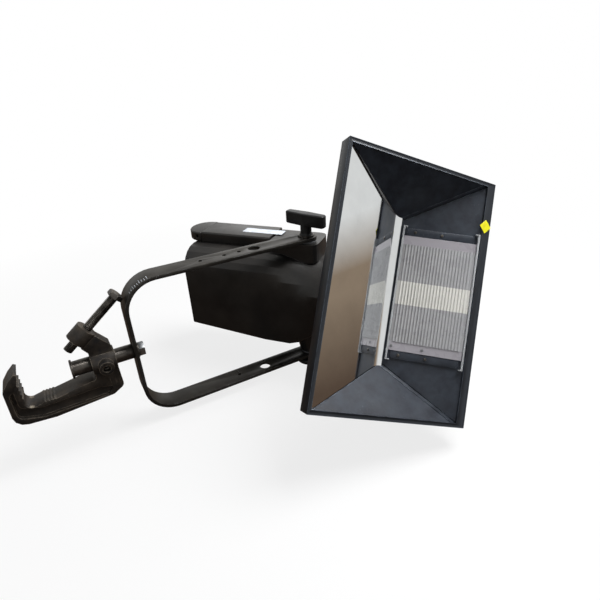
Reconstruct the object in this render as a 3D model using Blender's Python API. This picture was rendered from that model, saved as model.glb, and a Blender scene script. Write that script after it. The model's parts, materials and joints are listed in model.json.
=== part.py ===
"""Wash spotlight with a mirror hood, a flat-bar yoke and a pipe clamp.

Metres, +Z up. The origin is the centre of the pipe that the clamp hangs on.
Z runs down the clamp's spigot to the yoke, X is the tilt axis, and the light
leaves towards -Y. The lamp is modelled in the pose that it is seen in: the
body tilted, and the hood turned on the body's nose.
"""

import math

import bmesh
import bpy
from mathutils import Matrix, Vector

# Shared clearances
GAP = 0.0003
SHAFT_PLAY = 0.0003

# How far a cutting shape runs past what it cuts
OVER = 0.01

# Rest pose, degrees
TILT = 39.26
HOOD_TURN = 33.3

# Pipe clamp
PIPE_RADIUS = 0.02415
CLAMP_WIDTH = 0.028
BAR_INSIDE = 0.0265
BAR_DEPTH = 0.0268
HOOK_DEPTH = 0.0172
HOOK_REACH = 0.0245
SADDLE_RADIUS = 0.0085
SADDLE_RELIEF = 0.0025
WEB_HALF = 0.0085
POCKET_DEPTH = 0.005
POCKET_RIB = 0.006
TOOTH_DEPTH = 0.0011
TOOTH_PITCH = 0.0038
TEETH_START = -0.0105
HOOK_TOOTH_PITCH = 0.0062
BLOCK_RADIUS = 0.0165
BLOCK_TOP = -0.062
BLOCK_BOTTOM = -0.0905
SET_BOSS_RADIUS = 0.0095
SET_BOSS_REACH = 0.025
SET_SCREW_RADIUS = 0.0047
SET_SCREW_LENGTH = 0.010
SET_SCREW_Z = -0.0770
BOLT_LEAN = 39.2
BOLT_RADIUS = 0.006
BOLT_LENGTH = 0.089
BOLT_AIM_Z = -0.0045
BOLT_TIP_REACH = 0.045
BOLT_HEAD_HEIGHT = 0.0065
BOLT_HEAD_FLATS = 0.018
BOLT_BOSS_RADIUS = 0.0135
BOLT_BOSS_LENGTH = 0.0215
BOLT_BOSS_FROM_TIP = 0.0155

# Spigot and yoke
SPIGOT_RADIUS = 0.0102
SPIGOT_TOP = -0.036
SPIGOT_FLANGE_RADIUS = 0.0128
SPIGOT_FLANGE_HEIGHT = 0.0025
YOKE_TOP = -0.115
YOKE_SPAN = 0.2116
YOKE_DROP = 0.2817
YOKE_THICKNESS = 0.005
YOKE_WIDTH = 0.032
YOKE_BEND = 0.046
YOKE_BOLT_RADIUS = 0.006
YOKE_BOLT_LENGTH = 0.030
YOKE_BOLT_FLATS = 0.019
YOKE_BOLT_HEAD = 0.0075
YOKE_WASHER_RADIUS = 0.0108
YOKE_WASHER_HEIGHT = 0.0016
SMALL_HOLE_RADIUS = 0.003
SMALL_HOLES_ABOVE_PIVOT = (0.1122, 0.1345, 0.1699)
LARGE_HOLE_RADIUS = 0.009
LARGE_HOLE_ABOVE_PIVOT = 0.0885

# Tilt pivots
STUD_RADIUS = 0.0049
DISC_THICKNESS = 0.0029
DISC_RADIUS = 0.0155
WASHER_THICKNESS = 0.002
WASHER_RADIUS = 0.0125
HANDLE_LENGTH = 0.0690
HANDLE_WIDTH = 0.0165
HANDLE_TIP_WIDTH = 0.0125
HANDLE_HEIGHT = 0.019
HANDLE_STEM_RADIUS = 0.0085
HANDLE_STEM_HEIGHT = 0.0145
HANDLE_TURN = 16.0
HANDLE_CORNER = 0.004
HANDLE_WAIST = 0.020
KNOB_RADIUS = 0.025
KNOB_HEIGHT = 0.013
KNOB_HUB_RADIUS = 0.012
STUD_SEAT = 0.024

# Body, measured from the tilt axis: across X, ahead along the light, up
AXIS_ACROSS = 0.013
AXIS_UP = -0.0085
BODY_HALF_WIDTH = 0.068
BODY_HALF_HEIGHT = 0.057
BODY_REAR = -0.198
BODY_WIDEST = -0.062
BODY_FLAT_END = -0.050
KEEL_SIDE_FRONT = 0.0795
NOSE_START = 0.026
NOSE_END = 0.060
NOSE_RADIUS = 0.056
WALL = 0.003
SHOULDER_RADIUS = 0.036
CORNER_RADIUS = 0.010
KEEL_RADIUS = 0.005
PAD_REAR = -0.057
PAD_FRONT = 0.022
PAD_HALF_HEIGHT = 0.034
PAD_TOP_DROP = 0.008
PAD_CORNER = 0.012
PAD_REAR_CORNER = 0.002
BOSS_RADIUS = 0.021
BOSS_FLARE = 0.004
BOSS_TAPER_AT = 0.020
RAIL_HEIGHT = 0.0172
RAIL_LOW = -0.0465
RAIL_HIGH = 0.0135
RAIL_FRONT = -0.0605
RAIL_STEP = 0.0012
RAIL_STEP_UP = 0.020
RAIL_SLANT = 0.003
RAIL_REAR = -0.190
RAIL_CAP_LENGTH = 0.004
RAIL_HOLE_RADIUS = 0.0026
RAIL_HOLE_FROM_END = 0.0040

# Inside the body
BARREL_RADIUS = 0.048
BARREL_WALL = 0.003
BARREL_REAR = -0.062
NOSE_CLEARANCE = 0.0014
SHOULDER_LENGTH = 0.004
BARREL_FRONT = 0.092
MOUNT_PLATE_SIZE = 0.0965
APERTURE_RADIUS = 0.034
BOARD_SIZE = 0.076
BOARD_THICKNESS = 0.0018
BOARD_AHEAD = -0.068
SINK_SIZE = 0.090
SINK_BASE = 0.006
SINK_DEPTH = 0.042
SINK_FINS = 10
SINK_FIN = 0.0018
EMITTER_RADIUS = 0.004
EMITTER_RINGS = ((0, 1), (0.013, 6), (0.026, 12))
LENS_RADIUS = 0.0445
LENS_AHEAD = 0.006
LENS_DOME = 0.010
LENS_EDGE = 0.004
LENS_CURVE = ((0.2, 1.0), (0.5, 0.8), (0.85, 0.35), (1.0, 0.0))
FAN_SIZE = 0.084
FAN_DEPTH = 0.022
FAN_BORE = 0.0385
FAN_HUB = 0.015
FAN_BLADES = 7
FAN_PITCH = 38.0
FAN_SPOKE = 0.003
FAN_CORNER = 0.005
FAN_TIP_PLAY = 0.0012
DRIVER_LENGTH = 0.034
DRIVER_WIDTH = 0.100
DRIVER_BOARD = 0.006
DRIVER_BLOCK_LENGTH = 0.016
DRIVER_BLOCKS = ((-0.040, 0.024, 0.022), (-0.008, 0.020, 0.016), (0.030, 0.030, 0.019))
PANEL_THICKNESS = 0.003
PANEL_RECESS = 0.001

# Rear panel fittings: across and up from the body's centre
POWER_RADIUS = 0.0125
DATA_RADIUS = 0.0115
FLANGE_EXTRA = 0.0025
FLANGE_HEIGHT = 0.002
SOCKET_DEPTH = 0.016
SOCKET_RECESS = 0.010
SOCKET_WALL = 0.0022
POWER_UP = -0.004
DATA_UP = -0.0365
SOCKET_PITCH = 0.046
SOCKET_ACROSS = -0.035
DISPLAY_WIDTH = 0.044
DISPLAY_HEIGHT = 0.020
DISPLAY_ACROSS = -0.030
DISPLAY_UP = 0.032
BUTTON_RADIUS = 0.0042
BUTTON_PITCH = 0.0125
BUTTON_ACROSS = 0.006
BUTTON_LENGTH = 0.0052
WINDOW_DEPTH = 0.005
BUTTON_RAISED = 0.002
FUSE_RADIUS = 0.0065
FUSE_ACROSS = 0.052
VENT_SLOTS = 7
VENTS_FROM_REAR = 0.020
VENT_PITCH = 0.011
VENT_WIDTH = 0.0045
VENT_LENGTH = 0.085

# Hood: its opening is HOOD_WIDE across the mirror and HOOD_LONG along it. Its
# foot is the deep edge where the mirror meets the wall that carries the lens.
HOOD_LEAN = 49.97
HOOD_WIDE = 0.225
HOOD_LONG = 0.330
HOOD_DEPTH = 0.0525
LENS_SIDE = 0.1083
FOOT_AHEAD = 0.1422
FOOT_UP = 0.0865
FOOT_HALF = 0.0975
RIM_DEPTH = 0.0217
RIM_WALL = 0.003
LIP_THICKNESS = 0.0025
LIP_LEFT = 0.005
LIP_RIGHT = 0.0125
LIP_END = 0.0058
UNDER_END_LIP = 0.001
UNDER_LENS_LIP = 0.0015
LINER = 0.002
LINER_INSET = 0.0012
MIRROR_BEND = 0.032
CURL_STEPS = 12
SHELL = 0.003
FLANGE = 0.003
LENS_START = 0.0083
LENS_END = 0.0046
LENS_LONG = 0.157
LENS_THICKNESS = 0.0022
LENS_RIM = 0.0035
WINDOW_MARGIN_WIDE = 0.00585
WINDOW_MARGIN_LONG = 0.0055
WINDOW_REACH = 0.028
RIB_COUNT = 22
RIB_CREST = 0.00108
RIB_CREST_FROM = 0.3
RIB_CREST_TO = 0.7
RIB_ROOT = 0.0001
RIB_SINK = 0.0004
RIB_BORDER = 0.012
CLIP_OVERHANG = 0.013
CLIP_WIDTH = 0.0022
CLIP_HEIGHT = 0.005
PLATE_WIDTH = 0.0105
PLATE_SHORTER = 0.0077
PLATE_CORNER = 0.004
PLATE_THICKNESS = 0.0016
PLATE_SCREWS_AT = (0.12, 0.52)
PLATE_SCREW_RADIUS = 0.0022
PLATE_SCREW_HEIGHT = 0.0012
BOX_REAR = 0.104
BOX_SETBACK = 0.0025
BOX_DROP = 0.058
BOX_HALF = 0.096
BOX_WALL = 0.003
FOLD_THICKNESS = 0.003
FOLD_AT = 0.195
FOLD_LOW = 0.045
FOLD_HIGH = 0.034
COLLAR_REAR = 0.0605
COLLAR_RADIUS = 0.0560
COLLAR_FLANGE_RADIUS = 0.066
COLLAR_FLANGE = 0.005
LOCK_RADIUS = 0.0035
LOCK_HEAD_RADIUS = 0.009
LOCK_HEAD_HEIGHT = 0.008
LOCK_AHEAD = 0.080

ROUND = 32
ARM_END_STEPS = 12
PIVOT_Z = YOKE_TOP - YOKE_DROP
ARM_INSIDE = YOKE_SPAN / 2 - YOKE_THICKNESS
ARM_OUTSIDE = YOKE_SPAN / 2
PIVOT_FACE = ARM_INSIDE - DISC_THICKNESS - 2 * GAP

# Hood, worked out from its foot, its depth and the side that carries the lens
LEAN = math.radians(HOOD_LEAN)
DEEP_AT = HOOD_WIDE - LENS_SIDE
HOOD_AHEAD = FOOT_AHEAD - math.sin(LEAN) * DEEP_AT + math.cos(LEAN) * HOOD_DEPTH
HOOD_RISE = FOOT_UP + math.cos(LEAN) * DEEP_AT + math.sin(LEAN) * HOOD_DEPTH
UNDER_LIP = -LIP_THICKNESS - GAP
LENS_WALL_TOP = math.hypot(LENS_SIDE - LIP_RIGHT + UNDER_LENS_LIP, HOOD_DEPTH + UNDER_LIP)
LENS_WIDE = LENS_WALL_TOP - LENS_START - LENS_END
WINDOW_WIDE = LENS_WIDE - 2 * WINDOW_MARGIN_WIDE
WINDOW_LONG = LENS_LONG - 2 * WINDOW_MARGIN_LONG
CLIP_HALF = LENS_LONG / 2 + CLIP_OVERHANG
PLATE_LENGTH = LENS_WIDE - PLATE_SHORTER


def clear_scene():
    for item in list(bpy.data.objects):
        bpy.data.objects.remove(item, do_unlink=True)


def material(name, colour, roughness, metallic=0.0, alpha=1.0):
    made = bpy.data.materials.new(name)
    made.use_nodes = True
    shader = made.node_tree.nodes["Principled BSDF"]
    shader.inputs["Base Color"].default_value = (*colour, 1.0)
    shader.inputs["Roughness"].default_value = roughness
    shader.inputs["Metallic"].default_value = metallic
    shader.inputs["Alpha"].default_value = alpha
    made.diffuse_color = (*colour, alpha)
    return made


BLACK_MOULDED = ((0.018, 0.018, 0.020), 0.42, 0.0)
BLACK_PAINT = ((0.022, 0.022, 0.024), 0.38, 0.1)
CAST_IRON = ((0.030, 0.029, 0.030), 0.5, 0.5)
STEEL = ((0.30, 0.30, 0.31), 0.32, 1.0)
DARK_STEEL = ((0.07, 0.07, 0.075), 0.38, 0.9)
MIRROR = ((0.93, 0.94, 0.95), 0.03, 1.0)
SLATE = ((0.045, 0.052, 0.066), 0.42, 0.2)
CLEAR = ((0.78, 0.80, 0.80), 0.12, 0.0, 0.4)
ALUMINIUM = ((0.55, 0.56, 0.57), 0.35, 1.0)
GREEN_BOARD = ((0.02, 0.10, 0.05), 0.45, 0.0)
WHITE_BOARD = ((0.75, 0.75, 0.72), 0.45, 0.0)
BLUE_PLASTIC = ((0.04, 0.10, 0.35), 0.4, 0.0)
GREY_PLASTIC = ((0.25, 0.26, 0.27), 0.45, 0.0)
DARK_GLASS = ((0.01, 0.015, 0.02), 0.08, 0.0)


def empty(name, parent=None, location=(0, 0, 0), matrix=None):
    made = bpy.data.objects.new(name, None)
    made.empty_display_size = 0.03
    bpy.context.scene.collection.objects.link(made)
    made.parent = parent
    if matrix is None:
        made.location = location
    else:
        made.matrix_local = Matrix.Translation(location) @ matrix.to_4x4()
    return made


def finish_mesh(name, bm):
    bmesh.ops.remove_doubles(bm, verts=bm.verts, dist=1e-7)
    bmesh.ops.recalc_face_normals(bm, faces=bm.faces)
    mesh = bpy.data.meshes.new(name)
    bm.to_mesh(mesh)
    bm.free()
    mesh.shade_smooth()
    mesh.set_sharp_from_angle(angle=math.radians(30))
    return mesh


def piece(name, bm, look, parent=None, location=(0, 0, 0), rotation=(0, 0, 0)):
    made = bpy.data.objects.new(name, finish_mesh(name, bm))
    bpy.context.scene.collection.objects.link(made)
    made.parent = parent
    made.location = location
    made.rotation_euler = rotation
    made.data.materials.append(material(name, *look))
    return made


def shape(target, bm, operation="DIFFERENCE"):
    """Cuts or joins a helper solid, given in the target's own coordinates."""
    label = f"{target.name}_{operation.lower()}_{len(target.modifiers)}"
    helper = bpy.data.objects.new(label, finish_mesh(label, bm))
    bpy.context.scene.collection.objects.link(helper)
    helper.parent = target
    helper.hide_render = True
    helper.display_type = "WIRE"
    modifier = target.modifiers.new(label, "BOOLEAN")
    modifier.operation = operation
    modifier.solver = "EXACT"
    modifier.object = helper
    return target


def bevel(target, width, segments=1):
    modifier = target.modifiers.new("edges", "BEVEL")
    modifier.width = width
    modifier.segments = segments
    modifier.limit_method = "ANGLE"
    modifier.angle_limit = math.radians(50)


def box(low, high):
    bm = bmesh.new()
    low = Vector(low)
    high = Vector(high)
    bmesh.ops.create_cube(bm, size=1.0)
    bmesh.ops.scale(bm, vec=high - low, verts=bm.verts)
    bmesh.ops.translate(bm, vec=(low + high) / 2, verts=bm.verts)
    return bm


def prism(outline, low, high, along="Y"):
    """An outline of (a, b) points extruded along one axis."""
    place = {
        "X": lambda a, b, c: (c, a, b),
        "Y": lambda a, b, c: (a, c, b),
        "Z": lambda a, b, c: (a, b, c),
    }[along]
    bm = bmesh.new()
    first = bm.faces.new([bm.verts.new(place(a, b, low)) for a, b in outline])
    swept = bmesh.ops.extrude_face_region(bm, geom=[first])
    moved = [v for v in swept["geom"] if isinstance(v, bmesh.types.BMVert)]
    bmesh.ops.translate(bm, vec=Vector(place(0, 0, high - low)), verts=moved)
    return bm


def turned(profile, along="Z", centre=(0, 0), sides=ROUND, capped=True):
    """A profile of (radius, height) points turned about an axis.

    Capped, its two ends close as flat discs; otherwise the profile is a loop.
    """
    place = {
        "X": lambda a, b, c: (c, centre[0] + a, centre[1] + b),
        "Y": lambda a, b, c: (centre[0] + a, c, centre[1] + b),
        "Z": lambda a, b, c: (centre[0] + a, centre[1] + b, c),
    }[along]
    bm = bmesh.new()
    rings = []
    for radius, height in profile:
        level = []
        for i in range(sides):
            turn = 2 * math.pi * i / sides
            level.append(bm.verts.new(place(radius * math.cos(turn), radius * math.sin(turn), height)))
        rings.append(level)
    for here, there in zip(rings, rings[1:]):
        bridge(bm, here, there)
    if capped:
        bm.faces.new(rings[0])
        bm.faces.new(rings[-1][::-1])
    else:
        bridge(bm, rings[-1], rings[0])
    return bm


def bridge(bm, here, there):
    """Quads between two closed loops with the same number of points."""
    count = len(here)
    for i in range(count):
        j = (i + 1) % count
        bm.faces.new((here[i], here[j], there[j], there[i]))


def rod(radius, low, high, along="Z", centre=(0, 0), sides=ROUND):
    return turned([(radius, low), (radius, high)], along, centre, sides)


def ring(inner, outer, low, high, along="Z", centre=(0, 0), sides=24):
    profile = [(inner, low), (outer, low), (outer, high), (inner, high)]
    return turned(profile, along, centre, sides, capped=False)


def hexagon(flats, low, high, along="Z", centre=(0, 0)):
    return rod(flats / math.sqrt(3), low, high, along, centre, 6)


def rounded(corners, steps=3):
    """An outline from (x, y, radius) corners, each rounded by its radius."""
    outline = []
    count = len(corners)
    for i, (x, y, radius) in enumerate(corners):
        here = Vector((x, y))
        if radius == 0:
            outline.append(here)
            continue
        back = (Vector(corners[i - 1][:2]) - here).normalized()
        ahead = (Vector(corners[(i + 1) % count][:2]) - here).normalized()
        half = back.angle(ahead) / 2
        centre = here + (back + ahead).normalized() * radius / math.sin(half)
        start = here + back * radius / math.tan(half) - centre
        end = here + ahead * radius / math.tan(half) - centre
        sweep = start.angle_signed(end)
        for k in range(steps + 1):
            outline.append(centre + Matrix.Rotation(-sweep * k / steps, 2) @ start)
    return [tuple(point) for point in outline]


def clamp_outline():
    """The C of the clamp, seen along the pipe: bar at -X, opening at +X."""
    bar_in = -BAR_INSIDE
    bar_out = bar_in - BAR_DEPTH
    hook_in = PIPE_RADIUS + GAP
    hook_out = hook_in + HOOK_DEPTH
    outline = rounded([
        (HOOK_REACH - 0.0020, hook_in - 0.0040, 0.0010),
        (HOOK_REACH, hook_in - 0.0010, 0.0010),
        (HOOK_REACH - 0.0080, hook_out - 0.0100, 0.0060),
        (HOOK_REACH - 0.0200, hook_out - 0.0010, 0.0100),
        (bar_out + 0.0040, hook_out, 0.0160),
        (bar_out, -0.0050, 0.0),
        (bar_out + 0.0050, BLOCK_BOTTOM + 0.0130, 0.0040),
        (bar_out + 0.0140, BLOCK_BOTTOM - 0.0020, 0.0080),
        (0.0100, BLOCK_BOTTOM, 0.0),
        (0.0245, BLOCK_BOTTOM + 0.0015, 0.0040),
        (0.0430, BLOCK_BOTTOM + 0.0165, 0.0020),
        (0.0310, BLOCK_BOTTOM + 0.0367, 0.0020),
        (0.0180, BLOCK_TOP - 0.0005, 0.0030),
        (bar_in + 0.0045, BLOCK_TOP, 0.0050),
    ])
    outline.extend(bar_teeth(bar_in))
    outline.extend(saddle(bar_in, hook_in))
    return outline


def bar_teeth(bar_in):
    """Four ridges that grip the pipe on the bar's inner face."""
    points = []
    for k in range(4):
        z = TEETH_START + k * TOOTH_PITCH
        points.append((bar_in, z))
        points.append((bar_in + TOOTH_DEPTH, z + TOOTH_PITCH * 0.3))
        points.append((bar_in + TOOTH_DEPTH, z + TOOTH_PITCH * 0.6))
        points.append((bar_in, z + TOOTH_PITCH * 0.9))
    return points


def saddle(bar_in, hook_in):
    """The saddle's corner, then stepped teeth out along the hook."""
    points = []
    low = bar_in - SADDLE_RELIEF
    for k in range(5):
        turn = math.pi * (1 - k / 8)
        x = low + SADDLE_RADIUS + SADDLE_RADIUS * math.cos(turn)
        z = hook_in - SADDLE_RADIUS - TOOTH_DEPTH + SADDLE_RADIUS * math.sin(turn)
        points.append((x, z))
    for k in range(4):
        x = -0.0120 + k * HOOK_TOOTH_PITCH
        points.append((x, hook_in - 0.0024))
        points.append((x + 0.0012, hook_in - 0.0012 + k * 0.0003))
    return points


def bolt_frame():
    """Matrix whose +Z runs from the pipe bolt's tip back to its head."""
    lean = math.radians(180 - BOLT_LEAN)
    turn = Matrix.Rotation(lean, 4, "Y")
    direction = turn @ Vector((0, 0, 1))
    return Matrix.Translation(direction * BOLT_TIP_REACH + Vector((0, 0, BOLT_AIM_Z))) @ turn


def in_bolt_frame(bm):
    bmesh.ops.transform(bm, matrix=bolt_frame(), verts=bm.verts)
    return bm


def make_clamp():
    half = CLAMP_WIDTH / 2
    casting = piece("clamp_casting", prism(clamp_outline(), -half, half), CAST_IRON)
    for side in (-1, 1):
        low, high = sorted((side * WEB_HALF, side * (half + 0.005)))
        shape(casting, box((-0.0060, low, BLOCK_BOTTOM - OVER), (0.06, high, BLOCK_TOP + 0.02)))
    shape(casting, rod(BLOCK_RADIUS, BLOCK_BOTTOM - 0.0008, BLOCK_TOP + 0.0012), "UNION")
    boss_low = BOLT_BOSS_FROM_TIP
    boss_high = boss_low + BOLT_BOSS_LENGTH
    boss = rod(BOLT_BOSS_RADIUS, boss_low, boss_high)
    shape(casting, in_bolt_frame(boss), "UNION")
    set_boss = rod(SET_BOSS_RADIUS, -SET_BOSS_REACH, 0, "Y", (0, SET_SCREW_Z))
    shape(casting, set_boss, "UNION")
    bar_in = -BAR_INSIDE
    bar_out = bar_in - BAR_DEPTH
    hook_in = PIPE_RADIUS
    rib = POCKET_RIB
    pocket = rounded([
        (0.0020, hook_in + rib, 0.001),
        (-0.0040, hook_in + HOOK_DEPTH - rib, 0.002),
        (bar_out + 0.0140, hook_in + HOOK_DEPTH - rib, 0.008),
        (bar_out + rib, 0.0080, 0.006),
        (bar_out + rib + 0.0010, BLOCK_BOTTOM + 0.020, 0.004),
        (bar_out + 0.0180, BLOCK_BOTTOM + 0.010, 0.002),
        (bar_in - rib + 0.0020, BLOCK_TOP, 0.002),
        (bar_in - rib, 0.0060, 0.008),
        (bar_in - rib + 0.0080, hook_in + rib, 0.006),
    ], 2)
    for side in (-1, 1):
        inner = side * (half - POCKET_DEPTH)
        outer = side * (half + 0.004)
        shape(casting, prism(pocket, min(inner, outer), max(inner, outer)))
    spigot_hole = SPIGOT_RADIUS + SHAFT_PLAY
    shape(casting, rod(spigot_hole, BLOCK_BOTTOM - OVER, BLOCK_TOP + OVER))
    bolt_hole = rod(BOLT_RADIUS + SHAFT_PLAY, boss_low - OVER, boss_high + OVER, sides=16)
    shape(casting, in_bolt_frame(bolt_hole))
    screw_hole = SET_SCREW_RADIUS + SHAFT_PLAY
    shape(casting, rod(screw_hole, -SET_BOSS_REACH - OVER, -SPIGOT_RADIUS / 2, "Y", (0, SET_SCREW_Z), 16))

    bolt = rod(BOLT_RADIUS, 0, BOLT_LENGTH + 0.002, sides=16)
    bolt = piece("pipe_bolt", bolt, DARK_STEEL)
    bolt.matrix_local = bolt_frame()
    head = hexagon(BOLT_HEAD_FLATS, BOLT_LENGTH, BOLT_LENGTH + BOLT_HEAD_HEIGHT)
    bmesh.ops.rotate(head, matrix=Matrix.Rotation(math.radians(30), 3, "Z"), verts=head.verts)
    shape(bolt, head, "UNION")

    near = SPIGOT_RADIUS + GAP
    screw = rod(SET_SCREW_RADIUS, -near - SET_SCREW_LENGTH, -near, "Y", sides=16)
    screw = piece("clamp_set_screw", screw, DARK_STEEL, location=(0, 0, SET_SCREW_Z))
    socket_floor = -near - SET_SCREW_LENGTH / 2
    shape(screw, hexagon(SET_SCREW_RADIUS, -near - SET_SCREW_LENGTH - OVER, socket_floor, "Y"))


def make_yoke():
    outer = ARM_OUTSIDE
    foot = PIVOT_Z - YOKE_WIDTH / 2
    inner_bend = YOKE_BEND - YOKE_THICKNESS
    outside = rounded([
        (-outer, foot, 0), (-outer, YOKE_TOP, YOKE_BEND), (outer, YOKE_TOP, YOKE_BEND), (outer, foot, 0)
    ], 10)
    top_in = YOKE_TOP - YOKE_THICKNESS
    inside = rounded([
        (ARM_INSIDE, foot, 0), (ARM_INSIDE, top_in, inner_bend),
        (-ARM_INSIDE, top_in, inner_bend), (-ARM_INSIDE, foot, 0)
    ], 10)
    half = YOKE_WIDTH / 2
    yoke = piece("yoke", prism(outside + inside, -half, half), BLACK_PAINT)
    reach = outer + OVER
    side = half + OVER
    notch = [(-side, PIVOT_Z), (-side, foot - OVER), (side, foot - OVER), (side, PIVOT_Z)]
    for k in range(ARM_END_STEPS + 1):
        turn = math.pi * k / ARM_END_STEPS
        notch.append((half * math.cos(turn), PIVOT_Z - half * math.sin(turn)))
    shape(yoke, prism(notch, -reach, reach, "X"))
    play = STUD_RADIUS + SHAFT_PLAY
    shape(yoke, rod(play, -reach, reach, "X", (0, PIVOT_Z), 24))
    centre_hole = rod(YOKE_BOLT_RADIUS + SHAFT_PLAY, top_in - OVER, YOKE_TOP + OVER, sides=24)
    shape(yoke, centre_hole)
    large_z = PIVOT_Z + LARGE_HOLE_ABOVE_PIVOT
    shape(yoke, rod(LARGE_HOLE_RADIUS, -reach, reach, "X", (0, large_z), 24))
    for k, height in enumerate(SMALL_HOLES_ABOVE_PIVOT):
        low = -reach if k == 1 else 0
        shape(yoke, rod(SMALL_HOLE_RADIUS, low, reach, "X", (0, PIVOT_Z + height), 12))

    bottom = YOKE_TOP + GAP
    flange_low = SPIGOT_TOP - SPIGOT_FLANGE_HEIGHT
    spigot = turned([
        (SPIGOT_RADIUS, bottom), (SPIGOT_RADIUS, flange_low),
        (SPIGOT_FLANGE_RADIUS, flange_low), (SPIGOT_FLANGE_RADIUS, SPIGOT_TOP)
    ])
    spigot = piece("spigot", spigot, DARK_STEEL)
    bolt_top = YOKE_TOP + YOKE_BOLT_LENGTH - YOKE_THICKNESS
    bolt_hole = YOKE_BOLT_RADIUS + SHAFT_PLAY
    shape(spigot, rod(bolt_hole, YOKE_TOP - OVER, bolt_top + 0.002, sides=24))

    washer_top = top_in - GAP
    washer_low = washer_top - YOKE_WASHER_HEIGHT
    piece("yoke_washer", ring(bolt_hole, YOKE_WASHER_RADIUS, washer_low, washer_top), STEEL)
    head_top = washer_low - GAP
    bolt = hexagon(YOKE_BOLT_FLATS, head_top - YOKE_BOLT_HEAD, head_top)
    bolt = piece("yoke_bolt", bolt, STEEL)
    shape(bolt, rod(YOKE_BOLT_RADIUS, head_top - 0.002, bolt_top, sides=24), "UNION")


def make_pivots(tilt):
    """The stack at each end of the tilt axis, in the body's own frame."""
    play = STUD_RADIUS + SHAFT_PLAY
    for side, name in ((1, "right"), (-1, "left")):
        low, high = sorted((side * (PIVOT_FACE + GAP), side * (ARM_INSIDE - GAP)))
        disc = ring(play, DISC_RADIUS, low, high, "X")
        piece(f"friction_disc_{name}", disc, GREY_PLASTIC, tilt)
        low, high = sorted((side * (ARM_OUTSIDE + GAP), side * (ARM_OUTSIDE + GAP + WASHER_THICKNESS)))
        piece(f"pivot_washer_{name}", ring(play, WASHER_RADIUS, low, high, "X"), STEEL, tilt)

    stem_low = ARM_OUTSIDE + WASHER_THICKNESS + 2 * GAP
    bar_low = stem_low + HANDLE_STEM_HEIGHT
    bar_high = bar_low + HANDLE_HEIGHT
    half = HANDLE_LENGTH / 2
    side = HANDLE_WIDTH / 2
    tip = HANDLE_TIP_WIDTH / 2
    plan = rounded([
        (-half, -tip, HANDLE_CORNER), (0, -side, HANDLE_WAIST), (half, -tip, HANDLE_CORNER),
        (half, tip, HANDLE_CORNER), (0, side, HANDLE_WAIST), (-half, tip, HANDLE_CORNER)
    ])
    handle = piece("tilt_handle", prism(plan, bar_low, bar_high, "X"), BLACK_MOULDED, tilt)
    handle.rotation_euler.x = math.radians(-HANDLE_TURN)
    bevel(handle, 0.0015)
    stem = turned([
        (HANDLE_STEM_RADIUS + 0.002, stem_low), (HANDLE_STEM_RADIUS, stem_low + 0.003),
        (HANDLE_STEM_RADIUS, bar_low + 0.002)
    ], "X")
    shape(handle, stem, "UNION")
    stud_end = bar_low + 0.006
    shape(handle, rod(play, stem_low - OVER, stud_end + GAP, "X", sides=16))
    stud_start = PIVOT_FACE - STUD_SEAT
    piece("tilt_stud", rod(STUD_RADIUS, stud_start, stud_end, "X", sides=16), STEEL, tilt)

    knob_high = stem_low + KNOB_HEIGHT
    knob = turned([
        (KNOB_RADIUS - 0.004, -knob_high), (KNOB_RADIUS, -knob_high + 0.003),
        (KNOB_RADIUS, -stem_low - 0.005), (KNOB_RADIUS - 0.002, -stem_low - 0.003),
        (KNOB_HUB_RADIUS, -stem_low - 0.003), (KNOB_HUB_RADIUS, -stem_low)
    ], "X")
    knob = piece("pivot_knob", knob, BLACK_MOULDED, tilt)
    knob_seat = knob_high - 0.004
    shape(knob, rod(play, -knob_seat - GAP, -stem_low + OVER, "X", sides=16))
    piece("pivot_stud", rod(STUD_RADIUS, -knob_seat, -stud_start, "X", sides=16), STEEL, tilt)


def body_outline():
    """The body's outer cross-section, seen from the front: across and up."""
    right = BODY_HALF_WIDTH
    top = BODY_HALF_HEIGHT
    return spaced(rounded([
        (right, top, SHOULDER_RADIUS), (-right, top, KEEL_RADIUS),
        (-right, -top, CORNER_RADIUS), (right, -top, CORNER_RADIUS)
    ], 5))


def spaced(outline, longest=0.02):
    """The same outline with its long sides split, so that it lofts evenly."""
    points = []
    for here, there in zip(outline, outline[1:] + outline[:1]):
        a = Vector(here)
        b = Vector(there)
        cuts = max(1, math.ceil((b - a).length / longest))
        points.extend(a.lerp(b, k / cuts) for k in range(cuts))
    return points


def body_section(outline, ahead, radius):
    """The outline at one station, eased from the flat body to the round nose.

    The keel side widens towards the front, and its upper corner stays square
    the longest, so that it runs on beside the nose.
    """
    widening = min(max((ahead - BODY_REAR) / (BODY_WIDEST - BODY_REAR), 0.0), 1.0)
    keel = 1 + (KEEL_SIDE_FRONT - BODY_HALF_WIDTH) / BODY_HALF_WIDTH * widening
    section = []
    for point in outline:
        direction = point.normalized()
        square = max(0.0, direction.dot(Vector((-0.8, 0.6))))
        start = BODY_FLAT_END + 0.030 * square
        end = NOSE_START + (NOSE_END - NOSE_START) * square * square
        span = min(max((ahead - start) / (end - start), 0.0), 1.0)
        ease = span * span * (3 - 2 * span)
        wide = Vector((point.x * keel if point.x < 0 else point.x, point.y))
        across, up = wide.lerp(direction * radius, ease)
        section.append((AXIS_ACROSS + across, -ahead, AXIS_UP + up))
    return section


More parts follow.
